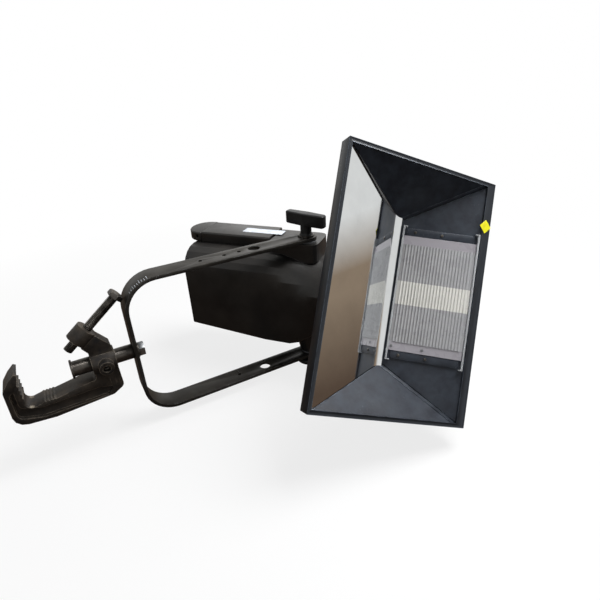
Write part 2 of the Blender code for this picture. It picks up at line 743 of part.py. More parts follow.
def lofted_body():
    """Outer and inner skins lofted from the rear to the nose, one open tube."""
    bm = bmesh.new()
    step = (NOSE_END - BODY_FLAT_END) / 7
    stations = [BODY_REAR, BODY_WIDEST] + [BODY_FLAT_END + step * k for k in range(8)]
    skins = []
    outer_outline = body_outline()
    inner_outline = [shrunk(point, WALL) for point in outer_outline]
    for outline, radius in ((outer_outline, NOSE_RADIUS), (inner_outline, NOSE_RADIUS - WALL)):
        rings = []
        for ahead in stations:
            section = body_section(outline, ahead, radius)
            rings.append([bm.verts.new(point) for point in section])
        skins.append(rings)
        for here, there in zip(rings, rings[1:]):
            bridge(bm, here, there)
    bridge(bm, skins[0][0], skins[1][0])
    bridge(bm, skins[0][-1], skins[1][-1])
    bmesh.ops.triangulate(bm, faces=bm.faces)
    return bm


def shrunk(point, inset):
    """A point of the outer outline moved in by an inset on each axis."""
    across = point.x * (BODY_HALF_WIDTH - inset) / BODY_HALF_WIDTH
    up = point.y * (BODY_HALF_HEIGHT - inset) / BODY_HALF_HEIGHT
    return Vector((across, up))


def make_housing(tilt):
    housing = piece("housing", lofted_body(), BLACK_MOULDED, tilt)
    side = AXIS_ACROSS + BODY_HALF_WIDTH
    pad_low = AXIS_UP - PAD_HALF_HEIGHT
    pad_high = AXIS_UP + PAD_HALF_HEIGHT - PAD_TOP_DROP
    pad = rounded([
        (-PAD_FRONT, pad_low, PAD_CORNER), (-PAD_REAR, pad_low, PAD_REAR_CORNER),
        (-PAD_REAR, pad_high, PAD_REAR_CORNER), (-PAD_FRONT, pad_high, PAD_CORNER)
    ])
    wall_inside = AXIS_ACROSS + NOSE_RADIUS - WALL / 2
    shape(housing, prism(pad, wall_inside, PIVOT_FACE, "X"), "UNION")
    left_inside = AXIS_ACROSS - NOSE_RADIUS + WALL / 2
    boss = turned([
        (BOSS_RADIUS + BOSS_FLARE, left_inside), (BOSS_RADIUS + BOSS_FLARE, BOSS_TAPER_AT - side),
        (BOSS_RADIUS - BOSS_FLARE, -PIVOT_FACE)
    ], "X")
    shape(housing, boss, "UNION")
    hole = STUD_RADIUS + SHAFT_PLAY
    seat = PIVOT_FACE - STUD_SEAT - 0.001
    shape(housing, rod(hole, seat, PIVOT_FACE + OVER, "X", sides=16))
    shape(housing, rod(hole, -PIVOT_FACE - OVER, -seat, "X", sides=16))
    floor = AXIS_UP - BODY_HALF_HEIGHT
    first = -BODY_REAR - VENTS_FROM_REAR
    for k in range(VENT_SLOTS):
        y = first - k * VENT_PITCH
        low = (AXIS_ACROSS - VENT_LENGTH / 2, y - VENT_WIDTH, floor - OVER)
        high = (AXIS_ACROSS + VENT_LENGTH / 2, y, floor + WALL + 0.002)
        shape(housing, box(low, high))


def make_rail(tilt):
    """The raised rail along the body's side, with its rounded rear cap."""
    inside = AXIS_ACROSS + BODY_HALF_WIDTH + GAP
    outside = inside + RAIL_HEIGHT
    low = AXIS_UP + RAIL_LOW
    high = AXIS_UP + RAIL_HIGH
    step_at = low + RAIL_STEP_UP
    section = [
        (inside, low), (outside - RAIL_STEP - 0.003, low), (outside - RAIL_STEP, low + 0.003),
        (outside - RAIL_STEP, step_at), (outside, step_at + 0.0015), (outside, high - 0.002),
        (outside - 0.002, high), (inside, high)
    ]
    rear = -RAIL_REAR
    cap_joint = rear - RAIL_CAP_LENGTH
    rail = piece("side_rail", prism(section, -RAIL_FRONT, cap_joint - GAP), BLACK_MOULDED, tilt)
    front = -RAIL_FRONT
    slant = [
        (front - OVER, low - OVER), (front + RAIL_SLANT, low - OVER),
        (front, high + OVER), (front - OVER, high + OVER)
    ]
    shape(rail, prism(slant, inside - OVER, outside + OVER, "X"))

    middle = (low + high) / 2
    radius = (high - low) / 2
    plan = [(cap_joint, low), (rear, low)]
    for k in range(1, 12):
        turn = math.pi * (k / 12 - 0.5)
        plan.append((rear + radius * math.cos(turn), middle + radius * math.sin(turn)))
    plan.extend([(rear, high), (cap_joint, high)])
    cap = piece("rail_end_cap", prism(plan, inside, outside - RAIL_STEP, "X"), BLACK_MOULDED, tilt)
    bevel(cap, 0.0015)
    hole_x = (inside + outside) / 2
    hole_y = rear + RAIL_HOLE_FROM_END
    shape(cap, rod(RAIL_HOLE_RADIUS, high - 0.016, high + OVER, "Z", (hole_x, hole_y), 12))


def make_engine(tilt):
    """Light engine: heat sink, emitter board, lens and barrel on the body's axis."""
    centre = (AXIS_ACROSS, AXIS_UP)
    bore = BARREL_RADIUS - BARREL_WALL
    shoulder = NOSE_RADIUS - WALL - NOSE_CLEARANCE
    shoulder_front = GAP - NOSE_END
    shoulder_rear = shoulder_front + SHOULDER_LENGTH
    barrel = turned([
        (bore, -BARREL_FRONT), (BARREL_RADIUS, -BARREL_FRONT), (BARREL_RADIUS, shoulder_front),
        (shoulder, shoulder_front), (shoulder, shoulder_rear), (BARREL_RADIUS, shoulder_rear),
        (BARREL_RADIUS, -BARREL_REAR), (bore, -BARREL_REAR)
    ], "Y", centre, 48, capped=False)
    barrel = piece("barrel", barrel, ALUMINIUM, tilt)
    plate = MOUNT_PLATE_SIZE / 2
    plate_back = -BOARD_AHEAD - BOARD_THICKNESS - GAP
    low = (AXIS_ACROSS - plate, -BARREL_REAR - BARREL_WALL, AXIS_UP - plate)
    high = (AXIS_ACROSS + plate, plate_back, AXIS_UP + plate)
    shape(barrel, box(low, high), "UNION")
    shape(barrel, rod(APERTURE_RADIUS, -BARREL_REAR - OVER, plate_back + OVER, "Y", centre, 32))

    dome_foot = -LENS_AHEAD - LENS_EDGE
    curve = [(LENS_RADIUS * share, dome_foot - LENS_DOME * rise) for share, rise in LENS_CURVE]
    lens = turned(curve + [(LENS_RADIUS, -LENS_AHEAD)], "Y", centre)
    piece("engine_lens", lens, CLEAR, tilt)

    half = BOARD_SIZE / 2
    board_back = -BOARD_AHEAD
    low = (AXIS_ACROSS - half, board_back - BOARD_THICKNESS, AXIS_UP - half)
    high = (AXIS_ACROSS + half, board_back, AXIS_UP + half)
    board = piece("emitter_board", box(low, high), WHITE_BOARD, tilt)
    front = board_back - BOARD_THICKNESS
    for radius, count in EMITTER_RINGS:
        for k in range(count):
            turn = 2 * math.pi * k / count
            at = (AXIS_ACROSS + radius * math.cos(turn), AXIS_UP + radius * math.sin(turn))
            dome = turned([
                (EMITTER_RADIUS * 0.6, front - 0.0022), (EMITTER_RADIUS, front - 0.0006),
                (EMITTER_RADIUS, front + 0.0005)
            ], "Y", at, 8)
            shape(board, dome, "UNION")

    half = SINK_SIZE / 2
    base_front = board_back + GAP
    profile = [(-half, base_front), (half, base_front)]
    pitch = (SINK_SIZE - SINK_FIN) / (SINK_FINS - 1)
    tip = base_front + SINK_DEPTH
    root = base_front + SINK_BASE
    for k in range(SINK_FINS - 1, -1, -1):
        left = -half + k * pitch
        profile.extend([(left + SINK_FIN, root), (left + SINK_FIN, tip), (left, tip), (left, root)])
    profile = [(AXIS_ACROSS + a, b) for a, b in profile]
    distinct = [point for i, point in enumerate(profile) if point != profile[i - 1]]
    sink = prism(distinct, AXIS_UP - half, AXIS_UP + half, "Z")
    piece("heat_sink", sink, ALUMINIUM, tilt)
    return tip


def make_fan(tilt, sink_end):
    centre_y = sink_end + GAP + FAN_DEPTH / 2
    hub = empty("fan_axis", tilt, (AXIS_ACROSS, centre_y, AXIS_UP))
    half = FAN_SIZE / 2
    deep = FAN_DEPTH / 2
    corners = [(half, half), (-half, half), (-half, -half), (half, -half)]
    outline = rounded([(x, z, FAN_CORNER) for x, z in corners])
    frame = piece("fan_frame", prism(outline, -deep, deep), BLACK_MOULDED, hub)
    shape(frame, rod(FAN_BORE, -deep - OVER, deep + OVER, "Y", sides=48))
    bars = box((-half + 0.001, deep - FAN_SPOKE, -FAN_SPOKE), (half - 0.001, deep, FAN_SPOKE))
    shape(frame, bars, "UNION")
    shape(frame, rod(FAN_HUB, deep - FAN_SPOKE, deep, "Y"), "UNION")

    rotor_back = deep - FAN_SPOKE - GAP
    rotor = piece("fan_rotor", rod(FAN_HUB, -deep + 0.002, rotor_back, "Y"), BLACK_MOULDED, hub)
    reach = FAN_BORE - FAN_TIP_PLAY
    for k in range(FAN_BLADES):
        blade = box((FAN_HUB - 0.002, -deep + 0.004, -0.0006), (reach, rotor_back - 0.002, 0.0006))
        bmesh.ops.rotate(blade, matrix=Matrix.Rotation(math.radians(FAN_PITCH), 3, "X"), verts=blade.verts)
        turn = Matrix.Rotation(2 * math.pi * k / FAN_BLADES, 3, "Y")
        bmesh.ops.rotate(blade, matrix=turn, verts=blade.verts)
        shape(rotor, blade, "UNION")
    return centre_y + deep


def make_driver(tilt, fan_end):
    """Power and control board, standing on the body's floor behind the fan."""
    start = fan_end + 0.002
    floor = AXIS_UP - BODY_HALF_HEIGHT + WALL + GAP
    half = DRIVER_WIDTH / 2
    end = start + DRIVER_LENGTH
    board_low = (AXIS_ACROSS - half, start, floor)
    board_high = (AXIS_ACROSS + half, end, floor + DRIVER_BOARD)
    driver = piece("driver_board", box(board_low, board_high), GREEN_BOARD, tilt)
    block_start = start + 0.003
    block_end = block_start + DRIVER_BLOCK_LENGTH
    for across, wide, tall in DRIVER_BLOCKS:
        low = (AXIS_ACROSS + across - wide / 2, block_start, floor + DRIVER_BOARD - 0.001)
        high = (AXIS_ACROSS + across + wide / 2, block_end, floor + DRIVER_BOARD + tall)
        shape(driver, box(low, high), "UNION")


def socket(name, radius, look, place, tilt, pins):
    """A round chassis socket: flange outside, sleeve through the panel, pins."""
    recess = SOCKET_RECESS
    inner = radius - SOCKET_WALL
    outer_face = FLANGE_HEIGHT + GAP
    made = turned([
        (radius, -SOCKET_DEPTH), (radius, GAP), (radius + FLANGE_EXTRA, GAP),
        (radius + FLANGE_EXTRA, outer_face), (inner, outer_face), (inner, outer_face - recess)
    ], "Y")
    made = piece(name, made, look, tilt, place)
    floor = outer_face - recess
    for k in range(pins):
        turn = 2 * math.pi * k / pins
        at = (inner * 0.5 * math.cos(turn), inner * 0.5 * math.sin(turn))
        pin = rod(0.0011, floor - 0.001, outer_face - 0.002, "Y", at, 8)
        shape(made, pin, "UNION")
    return made


def make_rear(tilt):
    edge = [shrunk(point, WALL + GAP) for point in body_outline()]
    outline = [(AXIS_ACROSS + point.x, AXIS_UP + point.y) for point in edge]
    outer = -BODY_REAR - PANEL_RECESS
    inner = outer - PANEL_THICKNESS
    panel = piece("rear_panel", prism(outline, inner, outer), BLACK_PAINT, tilt)

    sockets = (
        ("power_inlet", POWER_RADIUS, BLUE_PLASTIC, 0, POWER_UP, 3),
        ("power_outlet", POWER_RADIUS, GREY_PLASTIC, 1, POWER_UP, 3),
        ("data_inlet", DATA_RADIUS, STEEL, 0, DATA_UP, 5),
        ("data_outlet", DATA_RADIUS, STEEL, 1, DATA_UP, 5),
    )
    for name, radius, look, column, up, pins in sockets:
        across = AXIS_ACROSS + SOCKET_ACROSS + column * SOCKET_PITCH
        height = AXIS_UP + up
        shape(panel, rod(radius + GAP, inner - OVER, outer + OVER, "Y", (across, height), 32))
        socket(name, radius, look, (across, outer, height), tilt, pins)

    across = AXIS_ACROSS + DISPLAY_ACROSS
    up = AXIS_UP + DISPLAY_UP
    half = Vector((DISPLAY_WIDTH / 2, 0, DISPLAY_HEIGHT / 2))
    centre = Vector((across, 0, up))
    low = centre - half - Vector((GAP, 0, GAP))
    high = centre + half + Vector((GAP, 0, GAP))
    shape(panel, box((low.x, inner - OVER, low.z), (high.x, outer + OVER, high.z)))
    window = box((-half.x, -WINDOW_DEPTH, -half.z), (half.x, 0.0005, half.z))
    piece("display_window", window, DARK_GLASS, tilt, (across, outer, up))

    for k in range(4):
        across = AXIS_ACROSS + BUTTON_ACROSS + k * BUTTON_PITCH
        place = (across, outer, up)
        shape(panel, rod(BUTTON_RADIUS + GAP, inner - OVER, outer + OVER, "Y", (across, up), 16))
        button = turned([
            (BUTTON_RADIUS, BUTTON_RAISED - BUTTON_LENGTH),
            (BUTTON_RADIUS, BUTTON_RAISED - 0.0006), (BUTTON_RADIUS - 0.0006, BUTTON_RAISED)
        ], "Y", sides=16)
        piece(f"menu_button_{k + 1}", button, GREY_PLASTIC, tilt, place)

    across = AXIS_ACROSS + FUSE_ACROSS
    height = AXIS_UP + POWER_UP
    shape(panel, rod(FUSE_RADIUS + GAP, inner - OVER, outer + OVER, "Y", (across, height), 24))
    cap = turned([
        (FUSE_RADIUS, -0.012), (FUSE_RADIUS, GAP), (FUSE_RADIUS + 0.002, GAP),
        (FUSE_RADIUS + 0.002, 0.004)
    ], "Y", sides=24)
    cap = piece("fuse_holder", cap, BLACK_MOULDED, tilt, (across, outer, height))
    shape(cap, box((-0.0045, 0.003, -0.0006), (0.0045, 0.01, 0.0006)))

    board_y = outer - WINDOW_DEPTH - GAP
    low = (AXIS_ACROSS + DISPLAY_ACROSS - half.x, board_y - 0.0016, up - half.z)
    high = (AXIS_ACROSS + BUTTON_ACROSS + 3 * BUTTON_PITCH + 0.006, board_y, up + half.z)
    piece("control_board", box(low, high), GREEN_BOARD, tilt)


def hood_frame():
    """Columns: across the opening, along it, and out of it."""
    across = Vector((0, -math.sin(LEAN), -math.cos(LEAN)))
    along = Vector((1, 0, 0))
    out = Vector((0, -math.cos(LEAN), math.sin(LEAN)))
    return Matrix((across, along, out)).transposed()


def plane_through(a, b, c, inside):
    """Unit normal and offset of a plane, its normal pointing away from inside."""
    normal = (b - a).cross(c - a).normalized()
    if normal.dot(inside - a) > 0:
        normal = -normal
    return normal, normal.dot(a)


def corner_of(planes):
    rows = Matrix([plane[0] for plane in planes])
    offsets = Vector([plane[1] for plane in planes])
    return rows.inverted() @ offsets


def trough():
    """The four inner surfaces of the hood, from just under the lip to the deep edge."""
    left = LIP_LEFT - UNDER_END_LIP
    right = HOOD_WIDE - LIP_RIGHT + UNDER_LENS_LIP
    end = HOOD_LONG / 2 - LIP_END + UNDER_END_LIP
    near = [Vector((left, s * end, UNDER_LIP)) for s in (1, -1)]
    far = [Vector((right, s * end, UNDER_LIP)) for s in (1, -1)]
    deep = [Vector((DEEP_AT, s * FOOT_HALF, -HOOD_DEPTH)) for s in (1, -1)]
    middle = Vector((DEEP_AT, 0, 0))
    return {
        "mirror": plane_through(near[0], near[1], deep[0], middle),
        "lens": plane_through(far[0], far[1], deep[0], middle),
        "top": plane_through(near[0], far[0], deep[0], middle),
        "bottom": plane_through(near[1], far[1], deep[1], middle),
    }


def shifted(planes, distance):
    return {name: (normal, offset + distance) for name, (normal, offset) in planes.items()}


def trough_corners(planes, level):
    """Corners at a level below the opening, and the two deep corners."""
    lid = (Vector((0, 0, 1)), level)
    upper = [
        corner_of((planes[side], planes[end], lid))
        for side, end in (("mirror", "top"), ("lens", "top"), ("lens", "bottom"), ("mirror", "bottom"))
    ]
    deep = [corner_of((planes["mirror"], planes["lens"], planes[end])) for end in ("top", "bottom")]
    return upper, deep


def make_shell(mouth):
    """Bowl behind the liners, with the flange that the bezel sits on."""
    planes = trough()
    inner = shifted(planes, LINER + 2 * GAP)
    outer = shifted(inner, SHELL)
    top = -RIM_DEPTH + FLANGE
    bottom = -RIM_DEPTH
    edge = RIM_WALL + GAP
    rect = [(edge, 1), (HOOD_WIDE - edge, 1), (HOOD_WIDE - edge, -1), (edge, -1)]
    half = HOOD_LONG / 2 - edge
    in_top, in_deep = trough_corners(inner, top)
    out_top, out_deep = trough_corners(outer, bottom)
    bm = bmesh.new()
    flange_top = [bm.verts.new((s, side * half, top)) for s, side in rect]
    flange_low = [bm.verts.new((s, side * half, bottom)) for s, side in rect]
    in_ring = [bm.verts.new(point) for point in in_top]
    out_ring = [bm.verts.new(point) for point in out_top]
    in_pit = [bm.verts.new(point) for point in in_deep]
    out_pit = [bm.verts.new(point) for point in out_deep]
    bridge(bm, flange_top, flange_low)
    bridge(bm, flange_top, in_ring)
    bridge(bm, flange_low, out_ring)
    for rim_loop, pit in ((in_ring, in_pit), (out_ring, out_pit)):
        bm.faces.new((rim_loop[0], rim_loop[1], pit[0]))
        bm.faces.new((rim_loop[1], rim_loop[2], pit[1], pit[0]))
        bm.faces.new((rim_loop[2], rim_loop[3], pit[1]))
        bm.faces.new((rim_loop[3], rim_loop[0], pit[0], pit[1]))
    shell = piece("hood_shell", bm, BLACK_MOULDED, mouth)
    shape(shell, lens_box(WINDOW_WIDE, WINDOW_LONG, -WINDOW_REACH, WINDOW_REACH))
    return planes


def lens_frame():
    """Matrix of the lens wall: X from the deep edge outwards, Z into the hood."""
    planes = trough()
    out = -planes["lens"][0]
    along = Vector((0, 1, 0))
    across = along.cross(out)
    deep = Vector((DEEP_AT, 0, -HOOD_DEPTH))
    turn = Matrix((across, along, out)).transposed().to_4x4()
    return Matrix.Translation(deep) @ turn


def lens_box(wide, long, low, high):
    """A box on the lens wall, centred on the lens."""
    centre = LENS_START + LENS_WIDE / 2
    bm = box((centre - wide / 2, -long / 2, low), (centre + wide / 2, long / 2, high))
    bmesh.ops.transform(bm, matrix=lens_frame(), verts=bm.verts)
    return bm


def liner(corners, normal, thickness, inset):
    """A flat sheet behind a trough surface, drawn in from its edges."""
    centre = sum(corners, Vector()) / len(corners)
    flat = [point + (centre - point).normalized() * inset for point in corners]
    bm = bmesh.new()
    front = [bm.verts.new(point) for point in flat]
    back = [bm.verts.new(point + normal * thickness) for point in flat]
    bm.faces.new(front)
    bm.faces.new(back[::-1])
    bridge(bm, front, back)
    return bm


def make_liners(mouth, planes):
    upper, deep = trough_corners(planes, UNDER_LIP)
    ends = (("hood_end_right", "top", upper[0], upper[1], deep[0]),
            ("hood_end_left", "bottom", upper[3], upper[2], deep[1]))
    for name, key, a, b, c in ends:
        piece(name, liner([a, b, c], planes[key][0], LINER, LINER_INSET), SLATE, mouth)
    wall = liner([upper[1], upper[2], deep[1], deep[0]], planes["lens"][0], LINER, LINER_INSET)
    wall = piece("lens_wall", wall, SLATE, mouth)
    shape(wall, lens_box(WINDOW_WIDE, WINDOW_LONG, -WINDOW_REACH, WINDOW_REACH))
    make_mirror(mouth, planes, upper, deep)


def make_mirror(mouth, planes, upper, deep):
    """Flat mirror whose foot curls up until its back would touch the lens wall."""
    start = Vector((upper[0].x + 2 * GAP, upper[0].z))
    foot = Vector((deep[0].x, deep[0].z))
    down = (foot - start).normalized()
    lens_up = Vector((upper[1].x - foot.x, upper[1].z - foot.y)).normalized()
    half = (-down).angle(lens_up) / 2
    reach = MIRROR_BEND / math.tan(half)
    centre = foot + (lens_up - down).normalized() * MIRROR_BEND / math.sin(half)
    first = foot - down * reach - centre
    sweep = math.pi - 2 * half
    curl = sweep - math.acos(1 - (LINER + 2 * GAP) / MIRROR_BEND)
    thicker = 1 + LINER / MIRROR_BEND
    face = [start]
    back = [start + Vector((-down.y, down.x)) * -LINER]
    for k in range(CURL_STEPS + 1):
        spoke = Matrix.Rotation(curl * k / CURL_STEPS, 2) @ first
        face.append(centre + spoke)
        back.append(centre + spoke * thicker)
    outline = [tuple(point) for point in face + back[::-1]]
    reach = HOOD_LONG
    mirror = piece("mirror", prism(outline, -reach, reach), MIRROR, mouth)
    for key in ("top", "bottom"):
        normal, offset = planes[key]
        slab = bmesh.new()
        bmesh.ops.create_cube(slab, size=1.0)
        turn = normal.to_track_quat("Z", "Y").to_matrix().to_4x4()
        place = Matrix.Translation(normal * (offset + 0.5 - GAP)) @ turn
        bmesh.ops.transform(slab, matrix=place, verts=slab.verts)
        shape(mirror, slab)


def make_bezel(mouth):
    """Rectangular rim: side walls and a front lip, wider beside the lens."""
    half = HOOD_LONG / 2
    bezel = piece("front_bezel", box((0, -half, -RIM_DEPTH), (HOOD_WIDE, half, 0)), SLATE, mouth)
    inside = half - RIM_WALL
    hollow = box((RIM_WALL, -inside, -RIM_DEPTH - OVER), (HOOD_WIDE - RIM_WALL, inside, -LIP_THICKNESS))
    shape(bezel, hollow)
    end = half - LIP_END
    shape(bezel, box((LIP_LEFT, -end, -RIM_DEPTH), (HOOD_WIDE - LIP_RIGHT, end, OVER)))


def make_lens(mouth):
    """Ribbed lens, its clear clips, and the two plates that hold it down."""
    frame = lens_frame()
    holder = empty("lens_place", mouth)
    holder.matrix_local = frame
    first = LENS_START
    last = first + LENS_WIDE
    half = LENS_LONG / 2
    seat = GAP
    face = seat + LENS_THICKNESS
    lens = piece("ribbed_lens", box((first, -half, seat), (last, half, face)), CLEAR, holder)
    pitch = (LENS_WIDE - 2 * LENS_RIM) / RIB_COUNT
    ribs = [(first + LENS_RIM, face - RIB_SINK)]
    for k in range(RIB_COUNT):
        start = first + LENS_RIM + k * pitch
        ribs.append((start, face + RIB_ROOT))
        ribs.append((start + pitch * RIB_CREST_FROM, face + RIB_CREST))
        ribs.append((start + pitch * RIB_CREST_TO, face + RIB_CREST))
    end = first + LENS_RIM + RIB_COUNT * pitch
    ribs.append((end, face + RIB_ROOT))
    ribs.append((end, face - RIB_SINK))
    run = half - RIB_BORDER
    shape(lens, prism(ribs, -run, run), "UNION")

    for name, start in (("lens_clip_rear", first - GAP - CLIP_WIDTH), ("lens_clip_front", last + GAP)):
        clip = box((start, -CLIP_HALF, seat), (start + CLIP_WIDTH, CLIP_HALF, seat + CLIP_HEIGHT))
        piece(name, clip, CLEAR, holder)

    plate_start = first + (LENS_WIDE - PLATE_LENGTH) / 2
    for name, side in (("lens_plate_right", 1), ("lens_plate_left", -1)):
        near = half + GAP
        far = near + PLATE_WIDTH
        corners = rounded([
            (plate_start, side * near, 0), (plate_start + PLATE_LENGTH, side * near, 0),
            (plate_start + PLATE_LENGTH, side * far, PLATE_CORNER), (plate_start, side * far, PLATE_CORNER)
        ])
        plate = piece(name, prism(corners, seat, seat + PLATE_THICKNESS, "Z"), BLACK_PAINT, holder)
        middle = side * (near + far) / 2
        for k, share in enumerate(PLATE_SCREWS_AT):
            at = (plate_start + PLATE_LENGTH * share, middle)
            low = seat + PLATE_THICKNESS + GAP
            high = low + PLATE_SCREW_HEIGHT
            head = turned([(PLATE_SCREW_RADIUS, low), (PLATE_SCREW_RADIUS * 0.7, high)], sides=12)
            label = "right" if side > 0 else "left"
            piece(f"lens_screw_{label}_{k + 1}", head, STEEL, holder, (*at, 0))


def side_view(point):
    """A point of the hood's mouth frame seen from the side: ahead and up."""
    ahead = HOOD_AHEAD + math.sin(LEAN) * point.x + math.cos(LEAN) * point.z
    up = HOOD_RISE - math.cos(LEAN) * point.x + math.sin(LEAN) * point.z
    return Vector((ahead, up))


def make_fold_box(hood, planes):
    """Closed box under the lens wall that turns the beam up through the lens."""
    behind = shifted(planes, LINER + 3 * GAP + SHELL)
    lid = (Vector((0, 0, 1)), -RIM_DEPTH - GAP)
    deep = side_view(corner_of((behind["mirror"], behind["lens"], (Vector((0, 1, 0)), 0))))
    knee = side_view(corner_of((lid, behind["lens"], (Vector((0, 1, 0)), 0))))
    rim = side_view(Vector((HOOD_WIDE, 0, -RIM_DEPTH - GAP)))
    slope = (knee.y - deep.y) / (knee.x - deep.x)
    rear_top = deep.y + slope * (BOX_REAR - deep.x)
    fall = (rim.y - knee.y) / (rim.x - knee.x)
    front = rim.x - BOX_SETBACK
    front_top = knee.y + fall * (front - knee.x)
    outline = [
        (BOX_REAR, rear_top), (knee.x, knee.y), (front, front_top),
        (front, -BOX_DROP), (BOX_REAR, -BOX_DROP)
    ]
    outer = [(-ahead, up) for ahead, up in outline]
    made = piece("fold_box", prism(outer, -BOX_HALF, BOX_HALF, "X"), BLACK_MOULDED, hood)
    wall = BOX_WALL
    inner = [
        (-BOX_REAR - wall, rear_top - wall - 0.002), (-knee.x, knee.y - wall),
        (-front + wall, front_top - wall), (-front + wall, -BOX_DROP - OVER),
        (-BOX_REAR - wall, -BOX_DROP - OVER)
    ]
    side = BOX_HALF - wall
    shape(made, prism(inner, -side, side, "X"))
    window = lens_box(WINDOW_WIDE, WINDOW_LONG, -WINDOW_REACH, WINDOW_REACH)
    mouth_place = Matrix.Translation((0, -HOOD_AHEAD, HOOD_RISE)) @ hood_frame().to_4x4()
    bmesh.ops.transform(window, matrix=mouth_place, verts=window.verts)
    shape(made, window)
    bore = BARREL_RADIUS - BARREL_WALL
    shape(made, rod(bore, -BOX_REAR - wall - 0.002, -BOX_REAR + OVER, "Y", sides=48))

    cover_low = -BOX_DROP - BOX_WALL - GAP
    cover = box((-BOX_HALF, -front, cover_low), (BOX_HALF, -BOX_REAR, -BOX_DROP - GAP))
    piece("fold_box_cover", cover, BLACK_MOULDED, hood)

    sheet = FOLD_THICKNESS * math.sqrt(2)
    low_point = -FOLD_LOW
    high_point = FOLD_HIGH
    mirror = [
        (-(FOLD_AT + low_point), low_point), (-(FOLD_AT + high_point), high_point),
        (-(FOLD_AT + high_point), high_point - sheet), (-(FOLD_AT + low_point), low_point - sheet)
    ]
    reach = side - GAP
    piece("fold_mirror", prism(mirror, -reach, reach, "X"), MIRROR, hood)


def make_collar(hood):
    """Ring that carries the hood and turns on the barrel, with its lock screw."""
    bore = BARREL_RADIUS + SHAFT_PLAY
    front = -BOX_REAR + GAP
    collar = turned([
        (bore, front), (COLLAR_FLANGE_RADIUS, front), (COLLAR_FLANGE_RADIUS, front + COLLAR_FLANGE),
        (COLLAR_RADIUS, front + COLLAR_FLANGE), (COLLAR_RADIUS, -COLLAR_REAR), (bore, -COLLAR_REAR)
    ], "Y", sides=48, capped=False)
    collar = piece("hood_collar", collar, BLACK_MOULDED, hood)
    hole = LOCK_RADIUS + SHAFT_PLAY
    shape(collar, rod(hole, -COLLAR_RADIUS - OVER, -bore + OVER, "Z", (0, -LOCK_AHEAD), 16))
    tip = BARREL_RADIUS + GAP
    outside = COLLAR_RADIUS + GAP
    screw = turned([
        (LOCK_HEAD_RADIUS, -outside - LOCK_HEAD_HEIGHT), (LOCK_HEAD_RADIUS, -outside),
        (LOCK_RADIUS, -outside), (LOCK_RADIUS, -tip)
    ], "Z", sides=16)
    piece("collar_lock_screw", screw, BLACK_MOULDED, hood, (0, -LOCK_AHEAD, 0))


def build():
    clear_scene()
    make_clamp()
    make_yoke()
    tilt = empty("tilt_axis", None, (0, 0, PIVOT_Z), Matrix.Rotation(math.radians(TILT), 3, "X"))
    make_pivots(tilt)
    make_housing(tilt)
    make_rail(tilt)
    sink_end = make_engine(tilt)
    fan_end = make_fan(tilt, sink_end)
    make_driver(tilt, fan_end)
    make_rear(tilt)
    turn = Matrix.Rotation(math.radians(HOOD_TURN), 3, "Y")
    hood = empty("hood_axis", tilt, (AXIS_ACROSS, 0, AXIS_UP), turn)
    make_collar(hood)
    mouth = empty("hood_mouth", hood, (0, -HOOD_AHEAD, HOOD_RISE), hood_frame())
    planes = make_shell(mouth)
    make_liners(mouth, planes)
    make_bezel(mouth)
    make_lens(mouth)
    make_fold_box(hood, planes)


if __name__ == "__main__":
    build()
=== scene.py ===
"""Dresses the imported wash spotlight: fine pieces, finishes, floor, light and camera."""

import json
import math

import bmesh
import bpy
from mathutils import Matrix, Vector

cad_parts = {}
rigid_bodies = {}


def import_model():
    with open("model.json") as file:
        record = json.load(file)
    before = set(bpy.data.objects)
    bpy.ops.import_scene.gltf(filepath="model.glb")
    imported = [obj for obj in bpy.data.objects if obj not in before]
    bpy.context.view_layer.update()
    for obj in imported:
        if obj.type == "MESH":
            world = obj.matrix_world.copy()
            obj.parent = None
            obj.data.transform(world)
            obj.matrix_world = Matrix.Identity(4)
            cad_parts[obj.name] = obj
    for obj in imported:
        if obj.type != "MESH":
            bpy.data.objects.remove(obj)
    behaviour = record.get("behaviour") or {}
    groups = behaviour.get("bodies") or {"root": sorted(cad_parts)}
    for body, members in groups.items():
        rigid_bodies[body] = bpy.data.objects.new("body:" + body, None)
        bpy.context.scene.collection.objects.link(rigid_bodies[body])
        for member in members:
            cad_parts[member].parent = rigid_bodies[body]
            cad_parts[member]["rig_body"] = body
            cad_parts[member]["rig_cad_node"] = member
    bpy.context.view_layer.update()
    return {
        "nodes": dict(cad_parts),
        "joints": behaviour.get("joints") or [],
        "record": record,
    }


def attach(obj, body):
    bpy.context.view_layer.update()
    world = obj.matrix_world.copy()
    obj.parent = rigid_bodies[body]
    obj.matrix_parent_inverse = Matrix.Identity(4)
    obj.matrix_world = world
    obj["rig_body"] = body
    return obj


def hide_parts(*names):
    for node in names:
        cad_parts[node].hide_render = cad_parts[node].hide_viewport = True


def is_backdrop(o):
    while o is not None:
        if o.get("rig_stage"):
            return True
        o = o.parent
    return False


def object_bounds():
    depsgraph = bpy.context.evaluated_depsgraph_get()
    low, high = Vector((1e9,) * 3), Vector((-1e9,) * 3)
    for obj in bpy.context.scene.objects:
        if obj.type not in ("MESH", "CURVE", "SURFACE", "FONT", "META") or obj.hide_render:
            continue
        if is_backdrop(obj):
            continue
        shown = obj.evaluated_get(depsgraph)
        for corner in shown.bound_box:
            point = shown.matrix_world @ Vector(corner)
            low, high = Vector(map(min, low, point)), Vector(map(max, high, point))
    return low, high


bl_info = {
    "name": "Wash spotlight dresser",
    "version": (1, 0, 0),
    "blender": (4, 5, 0),
    "location": "View3D > Sidebar > Wash light",
    "description": "Models and finishes a pipe-hung wash spotlight around its packed CAD parts",
    "category": "Object",
}

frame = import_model()
NODES = frame["nodes"]

